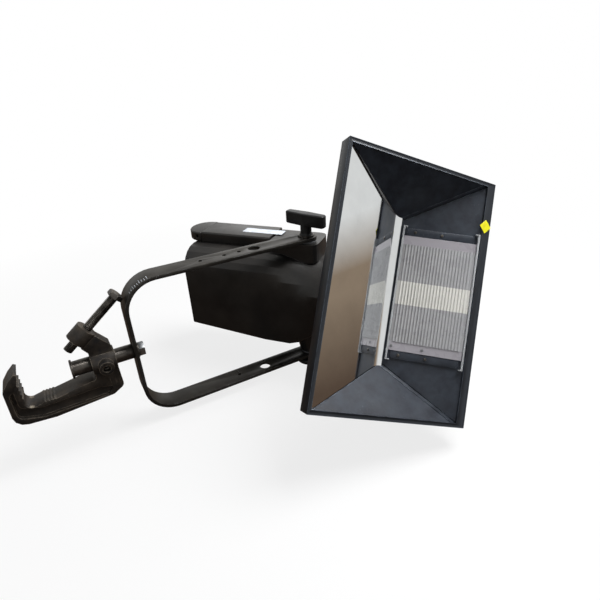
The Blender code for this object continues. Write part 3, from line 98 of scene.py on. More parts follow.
# Frames of the lamp's own parts, in metres and degrees
TILT = 39.26
HOOD_TURN = 33.3
LEAN = math.radians(49.97)
AXIS_ACROSS = 0.013
AXIS_UP = -0.0085
HOOD_WIDE = 0.225
HOOD_DEPTH = 0.0525
UNDER_LIP = -0.0028
LENS_SIDE = 0.1083
FOOT_AHEAD = 0.1422
FOOT_UP = 0.0865
FOOT_HALF = 0.0975
LENS_WALL_TOP = 0.2140
WALL_HALF = 0.1602
DEEP_AT = HOOD_WIDE - LENS_SIDE
HOOD_AHEAD = FOOT_AHEAD - math.sin(LEAN) * DEEP_AT + math.cos(LEAN) * HOOD_DEPTH
HOOD_RISE = FOOT_UP + math.cos(LEAN) * DEEP_AT + math.sin(LEAN) * HOOD_DEPTH
BODY_HALF_WIDTH = 0.068
RAIL_GAP = 0.0003
RAIL_THICKNESS = 0.0172
RAIL_FACE = AXIS_ACROSS + BODY_HALF_WIDTH + RAIL_GAP + RAIL_THICKNESS


def joint(name):
    return next(entry for entry in frame["joints"] if entry["name"] == name)


def hood_columns():
    """Across the opening, along it and out of it, as the columns of a matrix."""
    across = Vector((0, -math.sin(LEAN), -math.cos(LEAN)))
    out = Vector((0, -math.cos(LEAN), math.sin(LEAN)))
    return Matrix((across, Vector((1, 0, 0)), out)).transposed().to_4x4()


def lens_columns():
    """Up the lens wall from the deep edge, along it, and into the hood."""
    up = Vector((LENS_WALL_TOP - DEEP_AT, 0, HOOD_DEPTH + UNDER_LIP)).normalized()
    along = Vector((0, 1, 0))
    return Matrix((up, along, up.cross(along))).transposed().to_4x4()


HEAD = Matrix.Translation(joint("tilt")["pos_m"]) @ Matrix.Rotation(math.radians(TILT), 4, "X")
NOSE = HEAD @ Matrix.Translation((AXIS_ACROSS, 0, AXIS_UP))
HOOD = NOSE @ Matrix.Rotation(math.radians(HOOD_TURN), 4, "Y")
MOUTH = HOOD @ Matrix.Translation((0, -HOOD_AHEAD, HOOD_RISE)) @ hood_columns()
LENS = MOUTH @ Matrix.Translation((DEEP_AT, 0, -HOOD_DEPTH)) @ lens_columns()
BOLT_AXIS = Vector(joint("pipe_bolt_slide")["axis"])
INTO_HOOD = MOUTH.to_3x3().col[2].copy()

# Ribbed lens, measured up the lens wall from the foot and to each side
LENS_START = 0.0083
LENS_END = 0.0046
LENS_WIDE = math.hypot(LENS_WALL_TOP - DEEP_AT, HOOD_DEPTH + UNDER_LIP) - LENS_START - LENS_END
LENS_HALF = 0.0785
LENS_SEAT = 0.0003
LENS_FACE = LENS_SEAT + 0.0022
LENS_RIM = 0.0035
RIB_COUNT = 22
RIB_BORDER = 0.012
RIB_SIDES = 20
RIB_FILL = 0.98
RIB_PITCH = (LENS_WIDE - 2 * LENS_RIM) / RIB_COUNT
BAND_HALF = 0.0158
BAND_BLUR = 0.0004
BORDER_BLUR = 0.0005
STRIP_PAST_LENS = 0.013
STRIP_HALF = LENS_HALF + STRIP_PAST_LENS
STRIP_WIDTH = 0.0022
STRIP_HEIGHT = 0.005
STRIP_GAP = 0.0003


# Working on a mesh as by hand

EDGE_ANGLE = 32
TRACE_MERGE = 1e-5
TRACE_FLAT = 0.8


def alone(piece):
    """Makes this the only selected object, and the active one."""
    bpy.ops.object.select_all(action="DESELECT")
    piece.select_set(True)
    bpy.context.view_layer.objects.active = piece


def edit(piece, kind="FACE"):
    alone(piece)
    bpy.ops.object.mode_set(mode="EDIT")
    bpy.ops.mesh.select_mode(type=kind)
    bpy.ops.mesh.select_all(action="DESELECT")


def done():
    bpy.ops.object.mode_set(mode="OBJECT")


def pick_faces(piece, test):
    """Selects the faces for which the test holds."""
    bm = bmesh.from_edit_mesh(piece.data)
    for face in bm.faces:
        face.select_set(bool(test(face)))
    bm.select_flush_mode()
    bmesh.update_edit_mesh(piece.data)


def middle(face):
    return sum((v.co for v in face.verts), Vector()) / len(face.verts)


def named(name):
    """Names the object that was just made, and its mesh."""
    piece = bpy.context.active_object
    piece.name = name
    piece.data.name = name
    return piece


def add_block(name, low, high):
    low = Vector(low)
    high = Vector(high)
    bpy.ops.object.select_all(action="DESELECT")
    bpy.ops.mesh.primitive_cube_add(size=1.0, location=(low + high) / 2)
    piece = named(name)
    piece.scale = high - low
    bpy.ops.object.transform_apply(location=True, rotation=True, scale=True)
    return piece


def add_drum(name, radius, low, high, sides):
    """A cylinder on the Z axis between two heights."""
    bpy.ops.object.select_all(action="DESELECT")
    bpy.ops.mesh.primitive_cylinder_add(
        vertices=sides, radius=radius, depth=high - low, location=(0, 0, (low + high) / 2))
    piece = named(name)
    bpy.ops.object.transform_apply(location=True, rotation=True, scale=True)
    return piece


def put(piece, place):
    """Moves a piece's mesh into a frame, leaving its object at the origin."""
    alone(piece)
    piece.matrix_world = place
    bpy.ops.object.transform_apply(location=True, rotation=True, scale=True)
    return piece


def modify(piece, kind, **settings):
    """Adds a modifier with these settings and applies it."""
    alone(piece)
    modifier = piece.modifiers.new(kind.lower(), kind)
    for key, value in settings.items():
        setattr(modifier, key, value)
    bpy.ops.object.modifier_apply(modifier=modifier.name)
    return piece


def round_edges(piece, width, segments=2, angle=EDGE_ANGLE):
    return modify(piece, "BEVEL", width=width, segments=segments, limit_method="ANGLE",
                  angle_limit=math.radians(angle), harden_normals=False, miter_outer="MITER_ARC")


def smooth(piece, angle=EDGE_ANGLE):
    alone(piece)
    bpy.ops.object.shade_smooth_by_angle(angle=math.radians(angle))
    return piece


def cut_with(piece, cutter, operation="DIFFERENCE"):
    modify(piece, "BOOLEAN", operation=operation, solver="EXACT", object=cutter)
    bpy.data.objects.remove(cutter, do_unlink=True)
    return piece


def joined(name, pieces):
    """Several pieces as one object."""
    bpy.ops.object.select_all(action="DESELECT")
    for piece in pieces:
        piece.select_set(True)
    bpy.context.view_layer.objects.active = pieces[0]
    bpy.ops.object.join()
    return named(name)


def traced(node_name, name):
    """A merged copy of a CAD node's mesh, with its flat faces made whole."""
    alone(NODES[node_name])
    bpy.ops.object.duplicate(linked=False)
    piece = named(name)
    piece.parent = None
    del piece["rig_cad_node"]
    del piece["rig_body"]
    piece.data.materials.clear()
    edit(piece)
    bpy.ops.mesh.select_all(action="SELECT")
    bpy.ops.mesh.customdata_custom_splitnormals_clear()
    bpy.ops.mesh.remove_doubles(threshold=TRACE_MERGE)
    bpy.ops.mesh.dissolve_limited(angle_limit=math.radians(TRACE_FLAT))
    done()
    return piece


def finished(piece, look, body, slot, *replaced):
    """Gives a piece its finish and its body, and hides the CAD nodes it stands for."""
    piece.data.materials.clear()
    piece.data.materials.append(finish(look))
    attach(piece, body)
    if replaced:
        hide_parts(*replaced)
    return piece


def body_holding(node_name):
    bodies = frame["record"]["behaviour"]["bodies"]
    return next(body for body, members in bodies.items() if node_name in members)


def softened(node_name, look, slot, width, segments=2, angle=EDGE_ANGLE, crease=EDGE_ANGLE):
    """A CAD part again with its edges broken, as paint and moulds leave them."""
    piece = traced(node_name, f"{node_name}_fine")
    round_edges(piece, width, segments, angle)
    smooth(piece, crease)
    return finished(piece, look, body_holding(node_name), slot, node_name)


# Effects that several finishes share

def effect(name, inputs, outputs):
    """An empty node group with named values going in and coming out."""
    group = bpy.data.node_groups.new(name, "ShaderNodeTree")
    for label, kind, value in inputs:
        socket = group.interface.new_socket(name=label, in_out="INPUT", socket_type=kind)
        socket.default_value = value
    for label, kind in outputs:
        group.interface.new_socket(name=label, in_out="OUTPUT", socket_type=kind)
    return group, group.nodes.new("NodeGroupInput"), group.nodes.new("NodeGroupOutput")


def node(tree, kind, **inputs):
    """A node with some of its input sockets set or linked."""
    made = tree.nodes.new(kind)
    for label, value in inputs.items():
        connect(tree, value, made.inputs[label.replace("_", " ")])
    return made


def connect(tree, value, socket):
    if isinstance(value, bpy.types.NodeSocket):
        tree.links.new(value, socket)
    else:
        socket.default_value = value


def noise(tree, where, scale, detail=4.0, rough=0.55):
    made = node(tree, "ShaderNodeTexNoise", Vector=where, Scale=scale, Detail=detail, Roughness=rough)
    return made.outputs["Fac"]


def ramp(tree, value, low, high, out_low=0.0, out_high=1.0):
    made = node(tree, "ShaderNodeMapRange", Value=value)
    made.inputs["From Min"].default_value = low
    made.inputs["From Max"].default_value = high
    made.inputs["To Min"].default_value = out_low
    made.inputs["To Max"].default_value = out_high
    return made.outputs["Result"]


def sums(tree, operation, a, b):
    made = tree.nodes.new("ShaderNodeMath")
    made.operation = operation
    made.use_clamp = operation in ("MULTIPLY", "ADD", "SUBTRACT")
    connect(tree, a, made.inputs[0])
    connect(tree, b, made.inputs[1])
    return made.outputs[0]


def blend_colours(tree, mask, a, b):
    made = tree.nodes.new("ShaderNodeMix")
    made.data_type = "RGBA"
    connect(tree, mask, made.inputs["Factor"])
    connect(tree, a, made.inputs["A"])
    connect(tree, b, made.inputs["B"])
    return made.outputs["Result"]


def mixed_shader(tree, mask, first, second):
    made = tree.nodes.new("ShaderNodeMixShader")
    tree.links.new(mask, made.inputs["Fac"])
    tree.links.new(first, made.inputs[1])
    tree.links.new(second, made.inputs[2])
    return made.outputs["Shader"]


def own_place(tree):
    """The place in the piece's own frame, which is the lamp's."""
    return node(tree, "ShaderNodeTexCoord").outputs["Object"]


def edge_wear_group():
    """Mask of rubbed edges: where a rounded normal leaves the flat one, broken by noise."""
    group, given, put_out = effect(
        "Edge wear",
        [("Radius", "NodeSocketFloat", 0.001), ("Amount", "NodeSocketFloat", 0.5),
         ("Patch Scale", "NodeSocketFloat", 60.0)],
        [("Mask", "NodeSocketFloat")])
    soft = node(group, "ShaderNodeBevel", Radius=given.outputs["Radius"])
    soft.samples = 6
    flat = node(group, "ShaderNodeNewGeometry")
    dot = group.nodes.new("ShaderNodeVectorMath")
    dot.operation = "DOT_PRODUCT"
    group.links.new(soft.outputs["Normal"], dot.inputs[0])
    group.links.new(flat.outputs["Normal"], dot.inputs[1])
    edge = ramp(group, dot.outputs["Value"], 0.995, 0.90)
    patches = noise(group, own_place(group), given.outputs["Patch Scale"], 5.0, 0.65)
    least = sums(group, "SUBTRACT", 0.75, sums(group, "MULTIPLY", given.outputs["Amount"], 0.5))
    broken = node(group, "ShaderNodeMapRange", Value=patches)
    group.links.new(least, broken.inputs["From Min"])
    group.links.new(sums(group, "ADD", least, 0.12), broken.inputs["From Max"])
    group.links.new(sums(group, "MULTIPLY", edge, broken.outputs["Result"]), put_out.inputs["Mask"])
    return group


def grain_group():
    """Fine surface grain with a slower unevenness under it."""
    group, given, put_out = effect(
        "Surface grain",
        [("Fine Scale", "NodeSocketFloat", 1500.0), ("Coarse Scale", "NodeSocketFloat", 90.0),
         ("Coarse Share", "NodeSocketFloat", 0.4)],
        [("Height", "NodeSocketFloat"), ("Mottle", "NodeSocketFloat")])
    where = own_place(group)
    fine = noise(group, where, given.outputs["Fine Scale"], 3.0, 0.6)
    coarse = noise(group, where, given.outputs["Coarse Scale"], 6.0, 0.6)
    mixed = group.nodes.new("ShaderNodeMix")
    group.links.new(given.outputs["Coarse Share"], mixed.inputs["Factor"])
    group.links.new(fine, mixed.inputs["A"])
    group.links.new(coarse, mixed.inputs["B"])
    group.links.new(mixed.outputs["Result"], put_out.inputs["Height"])
    group.links.new(coarse, put_out.inputs["Mottle"])
    return group


def dust_group():
    """Pale dust and rub marks that gather in soft patches."""
    group, given, put_out = effect(
        "Dust",
        [("Scale", "NodeSocketFloat", 14.0), ("Amount", "NodeSocketFloat", 0.3)],
        [("Mask", "NodeSocketFloat")])
    broad = noise(group, own_place(group), given.outputs["Scale"], 7.0, 0.6)
    patches = ramp(group, broad, 0.45, 0.8)
    group.links.new(sums(group, "MULTIPLY", patches, given.outputs["Amount"]), put_out.inputs["Mask"])
    return group


def scratch_group():
    """Thin straight scratches in two directions, kept to patches."""
    group, given, put_out = effect(
        "Scratches",
        [("Scale", "NodeSocketFloat", 40.0), ("Amount", "NodeSocketFloat", 0.5)],
        [("Mask", "NodeSocketFloat")])
    where = own_place(group)
    lines = None
    for turn, stretch in (((0.3, 0.5, 0.2), (1.0, 18.0, 14.0)), ((0.9, -0.4, 1.1), (16.0, 1.0, 20.0))):
        turned = node(group, "ShaderNodeMapping", Vector=where, Rotation=turn, Scale=stretch)
        streaks = noise(group, turned.outputs["Vector"], given.outputs["Scale"], 2.0, 0.5)
        thin = ramp(group, streaks, 0.70, 0.74)
        lines = thin if lines is None else sums(group, "MAXIMUM", lines, thin)
    patches = ramp(group, noise(group, where, 22.0, 3.0), 0.5, 0.65)
    patchy = sums(group, "MULTIPLY", lines, patches)
    group.links.new(sums(group, "MULTIPLY", patchy, given.outputs["Amount"]), put_out.inputs["Mask"])
    return group


EFFECTS = {"wear": edge_wear_group, "grain": grain_group, "dust": dust_group, "scratches": scratch_group}
MADE_EFFECTS = {}


def use(tree, name, **values):
    """Places a shared effect in a material, with this material's own values."""
    if name not in MADE_EFFECTS:
        MADE_EFFECTS[name] = EFFECTS[name]()
    made = tree.nodes.new("ShaderNodeGroup")
    made.node_tree = MADE_EFFECTS[name]
    for label, value in values.items():
        made.inputs[label.replace("_", " ")].default_value = value
    return made


# Finishes

FINISHES = {}
MADE_FINISHES = {}


def kept(make):
    """Puts a finish on the list, by its function's name."""
    FINISHES[make.__name__] = make
    return make


def finish(name):
    """Makes a finish once and hands the same one out afterwards."""
    if name not in MADE_FINISHES:
        material = bpy.data.materials.new(name)
        material.use_nodes = True
        FINISHES[name](material.node_tree, material.node_tree.nodes["Principled BSDF"])
        MADE_FINISHES[name] = material
    return MADE_FINISHES[name]


def coloured(tree, shader, mask, first, second):
    """Base colour between two, by a mask."""
    connect(tree, blend_colours(tree, mask, (*first, 1), (*second, 1)), shader.inputs["Base Color"])


def roughened(tree, shader, mask, least, most):
    """Roughness between two values, over the middle of a noise's range."""
    connect(tree, ramp(tree, mask, 0.3, 0.7, least, most), shader.inputs["Roughness"])


def coated(tree, shader, base, mottled, rough, bump, worn=None, wear=0.4, radius=0.0012, dust=0.0,
           dust_colour=(0.20, 0.19, 0.18, 1), scratches=0.0, fine=1500.0, coarse=90.0, share=0.4, metal=0.0,
           shine=0.2):
    """Paint, plastic or oxide: two near tones, grain, worn edges, scratches and dust."""
    grain = use(tree, "grain", Fine_Scale=fine, Coarse_Scale=coarse, Coarse_Share=share)
    tone = ramp(tree, grain.outputs["Mottle"], 0.35, 0.65)
    colour = blend_colours(tree, tone, (*base, 1), (*mottled, 1))
    roughened(tree, shader, grain.outputs["Mottle"], rough - 0.06, rough + 0.08)
    metallic = None
    if worn is not None:
        mask = use(tree, "wear", Radius=radius, Amount=wear).outputs["Mask"]
        if scratches:
            mask = sums(tree, "MAXIMUM", mask, use(tree, "scratches", Amount=scratches).outputs["Mask"])
        colour = blend_colours(tree, mask, colour, (*worn, 1))
        metallic = ramp(tree, mask, 0.0, 1.0, metal, 0.85)
    if dust:
        colour = blend_colours(tree, use(tree, "dust", Amount=dust).outputs["Mask"], colour, dust_colour)
    relief = node(tree, "ShaderNodeBump", Height=grain.outputs["Height"])
    relief.inputs["Strength"].default_value = 1.0
    relief.inputs["Distance"].default_value = bump
    connect(tree, colour, shader.inputs["Base Color"])
    connect(tree, relief.outputs["Normal"], shader.inputs["Normal"])
    shader.inputs["Specular IOR Level"].default_value = shine
    shader.inputs["Metallic"].default_value = metal
    if metallic is not None:
        connect(tree, metallic, shader.inputs["Metallic"])


@kept
def cast_iron(tree, shader):
    """Dark coated casting, browned in patches and rubbed bright on its edges."""
    coated(tree, shader, (0.010, 0.010, 0.011), (0.040, 0.032, 0.025), 0.46, 0.0004,
           worn=(0.24, 0.21, 0.17), wear=0.72, radius=0.0016, dust=0.45, dust_colour=(0.13, 0.105, 0.08, 1),
           scratches=0.7, fine=420.0, coarse=70.0, share=0.35, metal=0.15, shine=0.25)


@kept
def black_steel(tree, shader):
    """Blackened steel of bolts and spigot."""
    coated(tree, shader, (0.045, 0.041, 0.038), (0.100, 0.090, 0.080), 0.34, 0.00006,
           worn=(0.30, 0.28, 0.25), wear=0.6, radius=0.0007, scratches=0.6,
           fine=900.0, coarse=120.0, metal=0.75)


@kept
def zinc_steel(tree, shader):
    """Zinc plate, dulled and a little blue."""
    coated(tree, shader, (0.20, 0.21, 0.22), (0.30, 0.31, 0.32), 0.34, 0.00004,
           worn=(0.5, 0.5, 0.5), wear=0.4, radius=0.0006, fine=900.0, coarse=160.0, metal=0.95)


@kept
def yoke_paint(tree, shader):
    """Satin black on the flat bar, browned by dust, bright along the edges."""
    coated(tree, shader, (0.016, 0.014, 0.012), (0.026, 0.023, 0.019), 0.40, 0.00005,
           worn=(0.26, 0.27, 0.28), wear=0.55, radius=0.0009, dust=0.25, scratches=0.55,
           fine=1300.0, coarse=40.0, share=0.25)


@kept
def body_paint(tree, shader):
    """Satin brown-black powder coat of the cast body and rail."""
    coated(tree, shader, (0.0125, 0.0120, 0.0120), (0.021, 0.0190, 0.0175), 0.36, 0.00006,
           worn=(0.13, 0.125, 0.12), wear=0.5, radius=0.0012, dust=0.35, dust_colour=(0.075, 0.066, 0.056, 1),
           fine=1700.0, coarse=22.0, share=0.2, shine=0.35)


@kept
def slate_paint(tree, shader):
    """Satin dark slate of the hood's rim."""
    coated(tree, shader, (0.014, 0.017, 0.023), (0.020, 0.024, 0.031), 0.38, 0.00005,
           worn=(0.15, 0.18, 0.23), wear=0.75, radius=0.0008, fine=1600.0, coarse=35.0, share=0.25, shine=0.3)


@kept
def liner_slate(tree, shader):
    """Thin coated sheet that lines the hood, mottled and dusty."""
    coated(tree, shader, (0.017, 0.020, 0.028), (0.033, 0.040, 0.053), 0.46, 0.00007,
           worn=(0.22, 0.25, 0.30), wear=0.7, radius=0.0006, dust=0.35, dust_colour=(0.075, 0.080, 0.090, 1),
           scratches=0.3, fine=900.0, coarse=60.0, share=0.35)


@kept
def shell_paint(tree, shader):
    """Satin black of the hood's back and the fold box."""
    coated(tree, shader, (0.012, 0.0125, 0.014), (0.018, 0.019, 0.021), 0.42, 0.00006,
           worn=(0.14, 0.15, 0.16), wear=0.45, radius=0.0009, dust=0.15, fine=1500.0, coarse=30.0, share=0.25)


@kept
def black_plastic(tree, shader):
    """Moulded plastic of knobs and fan, finely sparked."""
    coated(tree, shader, (0.010, 0.010, 0.011), (0.015, 0.015, 0.016), 0.42, 0.00008,
           worn=(0.06, 0.06, 0.06), wear=0.4, radius=0.0008, dust=0.12, fine=1900.0, coarse=50.0, share=0.15)


@kept
def grey_plastic(tree, shader):
    coated(tree, shader, (0.16, 0.165, 0.17), (0.20, 0.205, 0.21), 0.45, 0.00006, fine=1900.0, coarse=60.0)


@kept
def blue_plastic(tree, shader):
    coated(tree, shader, (0.025, 0.08, 0.28), (0.035, 0.10, 0.33), 0.40, 0.00005, fine=1900.0, coarse=60.0)


@kept
def green_board(tree, shader):
    """Coated circuit board with faint copper tracks under the lacquer."""
    where = own_place(tree)
    tracks = node(tree, "ShaderNodeTexBrick", Vector=where, Scale=180.0)
    tracks.inputs["Mortar Size"].default_value = 0.06
    connect(tree, (0.012, 0.085, 0.040, 1), tracks.inputs["Color1"])
    connect(tree, (0.010, 0.070, 0.034, 1), tracks.inputs["Color2"])
    connect(tree, (0.030, 0.140, 0.060, 1), tracks.inputs["Mortar"])
    connect(tree, tracks.outputs["Color"], shader.inputs["Base Color"])
    roughened(tree, shader, noise(tree, where, 200.0), 0.28, 0.42)


@kept
def white_board(tree, shader):
    coated(tree, shader, (0.70, 0.70, 0.66), (0.76, 0.76, 0.73), 0.38, 0.00004, fine=1200.0, coarse=80.0)


@kept
def bare_aluminium(tree, shader):
    """Satin aluminium with drawn lines."""
    drawn = node(tree, "ShaderNodeMapping", Vector=own_place(tree), Scale=(1.0, 30.0, 30.0))
    lines = noise(tree, drawn.outputs["Vector"], 60.0, 3.0)
    coloured(tree, shader, lines, (0.42, 0.43, 0.44), (0.62, 0.63, 0.64))
    roughened(tree, shader, lines, 0.28, 0.42)
    shader.inputs["Metallic"].default_value = 1.0


@kept
def mirror_coat(tree, shader):
    """Polished reflector sheet with a trace of haze and dust."""
    haze = noise(tree, own_place(tree), 30.0, 6.0)
    coloured(tree, shader, ramp(tree, haze, 0.4, 0.75), (0.86, 0.88, 0.90), (0.78, 0.80, 0.82))
    connect(tree, ramp(tree, haze, 0.45, 0.8, 0.015, 0.07), shader.inputs["Roughness"])
    shader.inputs["Metallic"].default_value = 1.0


@kept
def lens_acrylic(tree, shader):
    """Milky ribbed acrylic, with a clearer band of fresher plastic across its middle, and painted shade in
    the grooves between its ribs, strongest near the foot of the lens wall.
    """
    where = node(tree, "ShaderNodeUVMap")
    where.uv_map = "wall"
    split = node(tree, "ShaderNodeSeparateXYZ", Vector=where.outputs["UV"])
    off_middle = sums(tree, "ABSOLUTE", split.outputs["Y"], 0.0)
    along_wall = sums(tree, "SUBTRACT", split.outputs["X"], LENS_START + LENS_RIM)
    band = ramp(tree, off_middle, BAND_HALF + BAND_BLUR, BAND_HALF - BAND_BLUR)
    haze = noise(tree, own_place(tree), 45.0, 6.0)
    plain = blend_colours(tree, haze, (0.38, 0.385, 0.40, 1), (0.52, 0.52, 0.53, 1))
    fresh = blend_colours(tree, band, plain, (0.86, 0.85, 0.79, 1))
    # Painted shade: the grooves between the ribs are darkened in the base colour, most strongly near the foot
    # of the lens wall, fading towards its far edge
    off_groove = sums(tree, "PINGPONG", along_wall, RIB_PITCH / 2)
    groove_shade = ramp(tree, off_groove, RIB_PITCH * 0.40, RIB_PITCH * 0.26)
    shade_near_foot = ramp(tree, along_wall, 0.085, 0.02, 0.16, 0.46)
    ribs_end = LENS_HALF - RIB_BORDER
    ribbed = ramp(tree, off_middle, ribs_end + BORDER_BLUR, ribs_end - BORDER_BLUR)
    shade = sums(tree, "MULTIPLY", sums(tree, "MULTIPLY", groove_shade, shade_near_foot), ribbed)
    bordered = blend_colours(tree, ribbed, (0.36, 0.34, 0.37, 1), fresh)
    # The dark colour of the painted groove shade
    shaded = blend_colours(tree, shade, bordered, (0.115, 0.105, 0.10, 1))
    connect(tree, shaded, shader.inputs["Base Color"])
    roughened(tree, shader, haze, 0.22, 0.36)
    shader.inputs["Coat Weight"].default_value = 0.3
    shader.inputs["Coat Roughness"].default_value = 0.12
    shader.inputs["IOR"].default_value = 1.49


@kept
def clear_strip(tree, shader):
    """Clear bent strip, bright at its edges."""
    haze = noise(tree, own_place(tree), 160.0, 4.0)
    coloured(tree, shader, haze, (0.62, 0.64, 0.66), (0.78, 0.80, 0.82))
    roughened(tree, shader, haze, 0.10, 0.26)
    shader.inputs["Transmission Weight"].default_value = 0.45
    shader.inputs["IOR"].default_value = 1.49


@kept
def engine_glass(tree, shader):
    roughened(tree, shader, noise(tree, own_place(tree), 80.0), 0.03, 0.09)
    shader.inputs["Base Color"].default_value = (0.93, 0.95, 0.95, 1)
    shader.inputs["Transmission Weight"].default_value = 0.95
    shader.inputs["IOR"].default_value = 1.5


@kept
def dark_window(tree, shader):
    """Smoked display window."""
    haze = noise(tree, own_place(tree), 60.0, 5.0)
    coloured(tree, shader, haze, (0.006, 0.009, 0.012), (0.010, 0.014, 0.018))
    roughened(tree, shader, haze, 0.05, 0.12)


@kept
def label_paper(tree, shader):
    """Blank white label, a little soiled."""
    soil = noise(tree, own_place(tree), 90.0, 6.0)
    coloured(tree, shader, ramp(tree, soil, 0.4, 0.8), (0.66, 0.70, 0.76), (0.46, 0.49, 0.54))
    roughened(tree, shader, soil, 0.40, 0.55)


@kept
def sticker_yellow(tree, shader):
    """Blank yellow inspection sticker."""
    soil = noise(tree, own_place(tree), 160.0, 5.0)
    coloured(tree, shader, ramp(tree, soil, 0.45, 0.8), (0.95, 0.90, 0.01), (0.80, 0.70, 0.02))
    roughened(tree, shader, soil, 0.35, 0.5)


def repaint(node_name, look):
    """A better finish on a CAD part whose shape is right."""
    slots = NODES[node_name].data.materials
    slots.clear()
    slots.append(finish(look))


# Sizes and colours that someone would change

class FloorSettings(bpy.types.PropertyGroup):
    size: bpy.props.FloatProperty(
        name="Floor size", description="Side of the square floor", default=40.0, min=2.0, unit="LENGTH")
    colour: bpy.props.FloatVectorProperty(
        name="Floor colour", description="Colour of the floor where light falls on it",
        default=(0.82, 0.82, 0.82), size=3, min=0.0, max=1.0, subtype="COLOR")
    key_power: bpy.props.FloatProperty(
        name="Key light", description="Power of the light above and right in the picture", default=30.0,
        min=0.0)
    fill_power: bpy.props.FloatProperty(
        name="Fill light", description="Power of each of the two weaker lights", default=3.0, min=0.0)


class ThreadSettings(bpy.types.PropertyGroup):
    pitch: bpy.props.FloatProperty(
        name="Thread pitch", description="Advance of the pipe bolt's thread in one turn",
        default=0.00175, min=0.0005, unit="LENGTH")
    depth: bpy.props.FloatProperty(
        name="Thread depth", description="From the thread's crest to its root",
        default=0.0011, min=0.0001, unit="LENGTH")


class LensSettings(bpy.types.PropertyGroup):
    rib_height: bpy.props.FloatProperty(
        name="Rib height", description="How far a rib stands above the lens", default=0.0011,
        min=0.0002, unit="LENGTH")


# Pieces, one operator each

class LAMP_OT_stage(bpy.types.Operator):
    """Floor, soft lights and the camera at the photograph's angle"""
    bl_idname = "lamp.stage"
    bl_label = "Stage"

    def execute(self, context):
        make_floor(context.scene.lamp_floor)
        make_lights(context.scene.lamp_floor)
        make_camera()
        context.scene.view_settings.view_transform = "Standard"
        return {"FINISHED"}


CAMERA_PLACE = Vector((0.3375, -0.5689, -0.0664))
CAMERA_UP = Vector((0.886, 0.3804, -0.2652))
CAMERA_BACK = Vector((0.4618, -0.7765, 0.4287))
CAMERA_LENS = 27.0
CAMERA_SENSOR = 36.0
CAMERA_NEAR = 0.01
FLOOR_DROP = 0.001
FLOOR_MIDDLE = (-0.1, -0.25)
FLOOR_DULL = (0.10, 0.10, 0.10, 1)
LIGHTS_AIM = Vector((0.03, -0.10, -0.30))
AMBIENT_TINT = (0.93, 0.96, 1.0, 1)
AMBIENT_STRENGTH = 0.16
WHITE = (1, 1, 1, 1)
ROOM_HIGH = (0.74, 0.74, 0.72, 1)
ROOM_MIDDLE = (0.27, 0.205, 0.145, 1)
ROOM_LOW = (0.10, 0.068, 0.048, 1)


def make_camera():
    bpy.ops.object.camera_add()
    camera = bpy.context.active_object
    camera.name = "photo_camera"
    back = CAMERA_BACK.normalized()
    right = CAMERA_UP.cross(back).normalized()
    up = back.cross(right)
    turn = Matrix((right, up, back)).transposed().to_4x4()
    camera.matrix_world = Matrix.Translation(CAMERA_PLACE) @ turn
    camera.data.lens = CAMERA_LENS
    camera.data.sensor_width = CAMERA_SENSOR
    camera.data.clip_start = CAMERA_NEAR
    camera.data.dof.use_dof = False
    bpy.context.scene.camera = camera


def make_floor(settings):
    """The lamp lies on its side in the photograph, so the floor is under its -X side."""
    centre = (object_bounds()[0].x - FLOOR_DROP, *FLOOR_MIDDLE)
    bpy.ops.object.select_all(action="DESELECT")
    bpy.ops.mesh.primitive_plane_add(size=settings.size, location=centre)
    floor = named("floor")
    bpy.ops.transform.rotate(value=math.radians(90), orient_axis="Y", center_override=centre)
    bpy.ops.object.transform_apply(location=True, rotation=True, scale=True)
    if floor.data.polygons[0].normal.x < 0:
        edit(floor)
        bpy.ops.mesh.select_all(action="SELECT")
        bpy.ops.mesh.flip_normals()
        done()
    floor.data.materials.append(floor_finish(settings))
    floor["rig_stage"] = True


def floor_finish(settings):
    """Near white to the camera, the room's tone in mirrors, and dull to all other light."""
    material = bpy.data.materials.new("floor_pale")
    material.use_nodes = True
    tree = material.node_tree
    shader = tree.nodes["Principled BSDF"]
    shader.inputs["Base Color"].default_value = (*settings.colour, 1)
    shader.inputs["Roughness"].default_value = 0.9
    shader.inputs["Specular IOR Level"].default_value = 0.0
    glow = node(tree, "ShaderNodeEmission", Color=WHITE, Strength=1.0)
    away = tree.nodes.new("ShaderNodeVectorMath")
    away.operation = "DISTANCE"
    connect(tree, own_place(tree), away.inputs[0])
    connect(tree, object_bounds()[0].lerp(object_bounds()[1], 0.5), away.inputs[1])
    far = ramp(tree, away.outputs["Value"], 0.35, 1.1, 0.80, 1.0)
    seen = mixed_shader(tree, far, shader.outputs["BSDF"], glow.outputs["Emission"])
    dull = node(tree, "ShaderNodeBsdfDiffuse", Color=FLOOR_DULL)
    path = node(tree, "ShaderNodeLightPath")
    looked_at = sums(tree, "MAXIMUM", path.outputs["Is Camera Ray"], path.outputs["Is Transmission Ray"])
    by_ray = mixed_shader(tree, looked_at, dull.outputs["BSDF"], seen)
    mirrored = node(tree, "ShaderNodeEmission", Color=room_tone(tree), Strength=1.0)
    by_ray = mixed_shader(tree, path.outputs["Is Glossy Ray"], by_ray, mirrored.outputs["Emission"])
    behind = node(tree, "ShaderNodeNewGeometry").outputs["Backfacing"]
    clear = node(tree, "ShaderNodeBsdfTransparent")
    sides = mixed_shader(tree, behind, by_ray, clear.outputs["BSDF"])
    tree.links.new(sides, tree.nodes["Material Output"].inputs["Surface"])
    return material


def make_lights(settings):
    lamps = (
        ("key_light", (1.22, -0.24, -1.00), 0.8, settings.key_power),
        ("fill_light", (0.55, -1.5, 0.55), 1.4, settings.fill_power),
        ("side_light", (0.5, 0.9, -1.2), 1.2, settings.fill_power),
    )
    for name, place, size, power in lamps:
        bpy.ops.object.light_add(type="AREA", location=place)
        lamp = bpy.context.active_object
        lamp.name = name
        lamp.data.size = size
        lamp.data.energy = power
        lamp.rotation_mode = "QUATERNION"
        lamp.rotation_quaternion = (LIGHTS_AIM - Vector(place)).to_track_quat("-Z", "Y")
        lamp.visible_camera = False
    make_world()


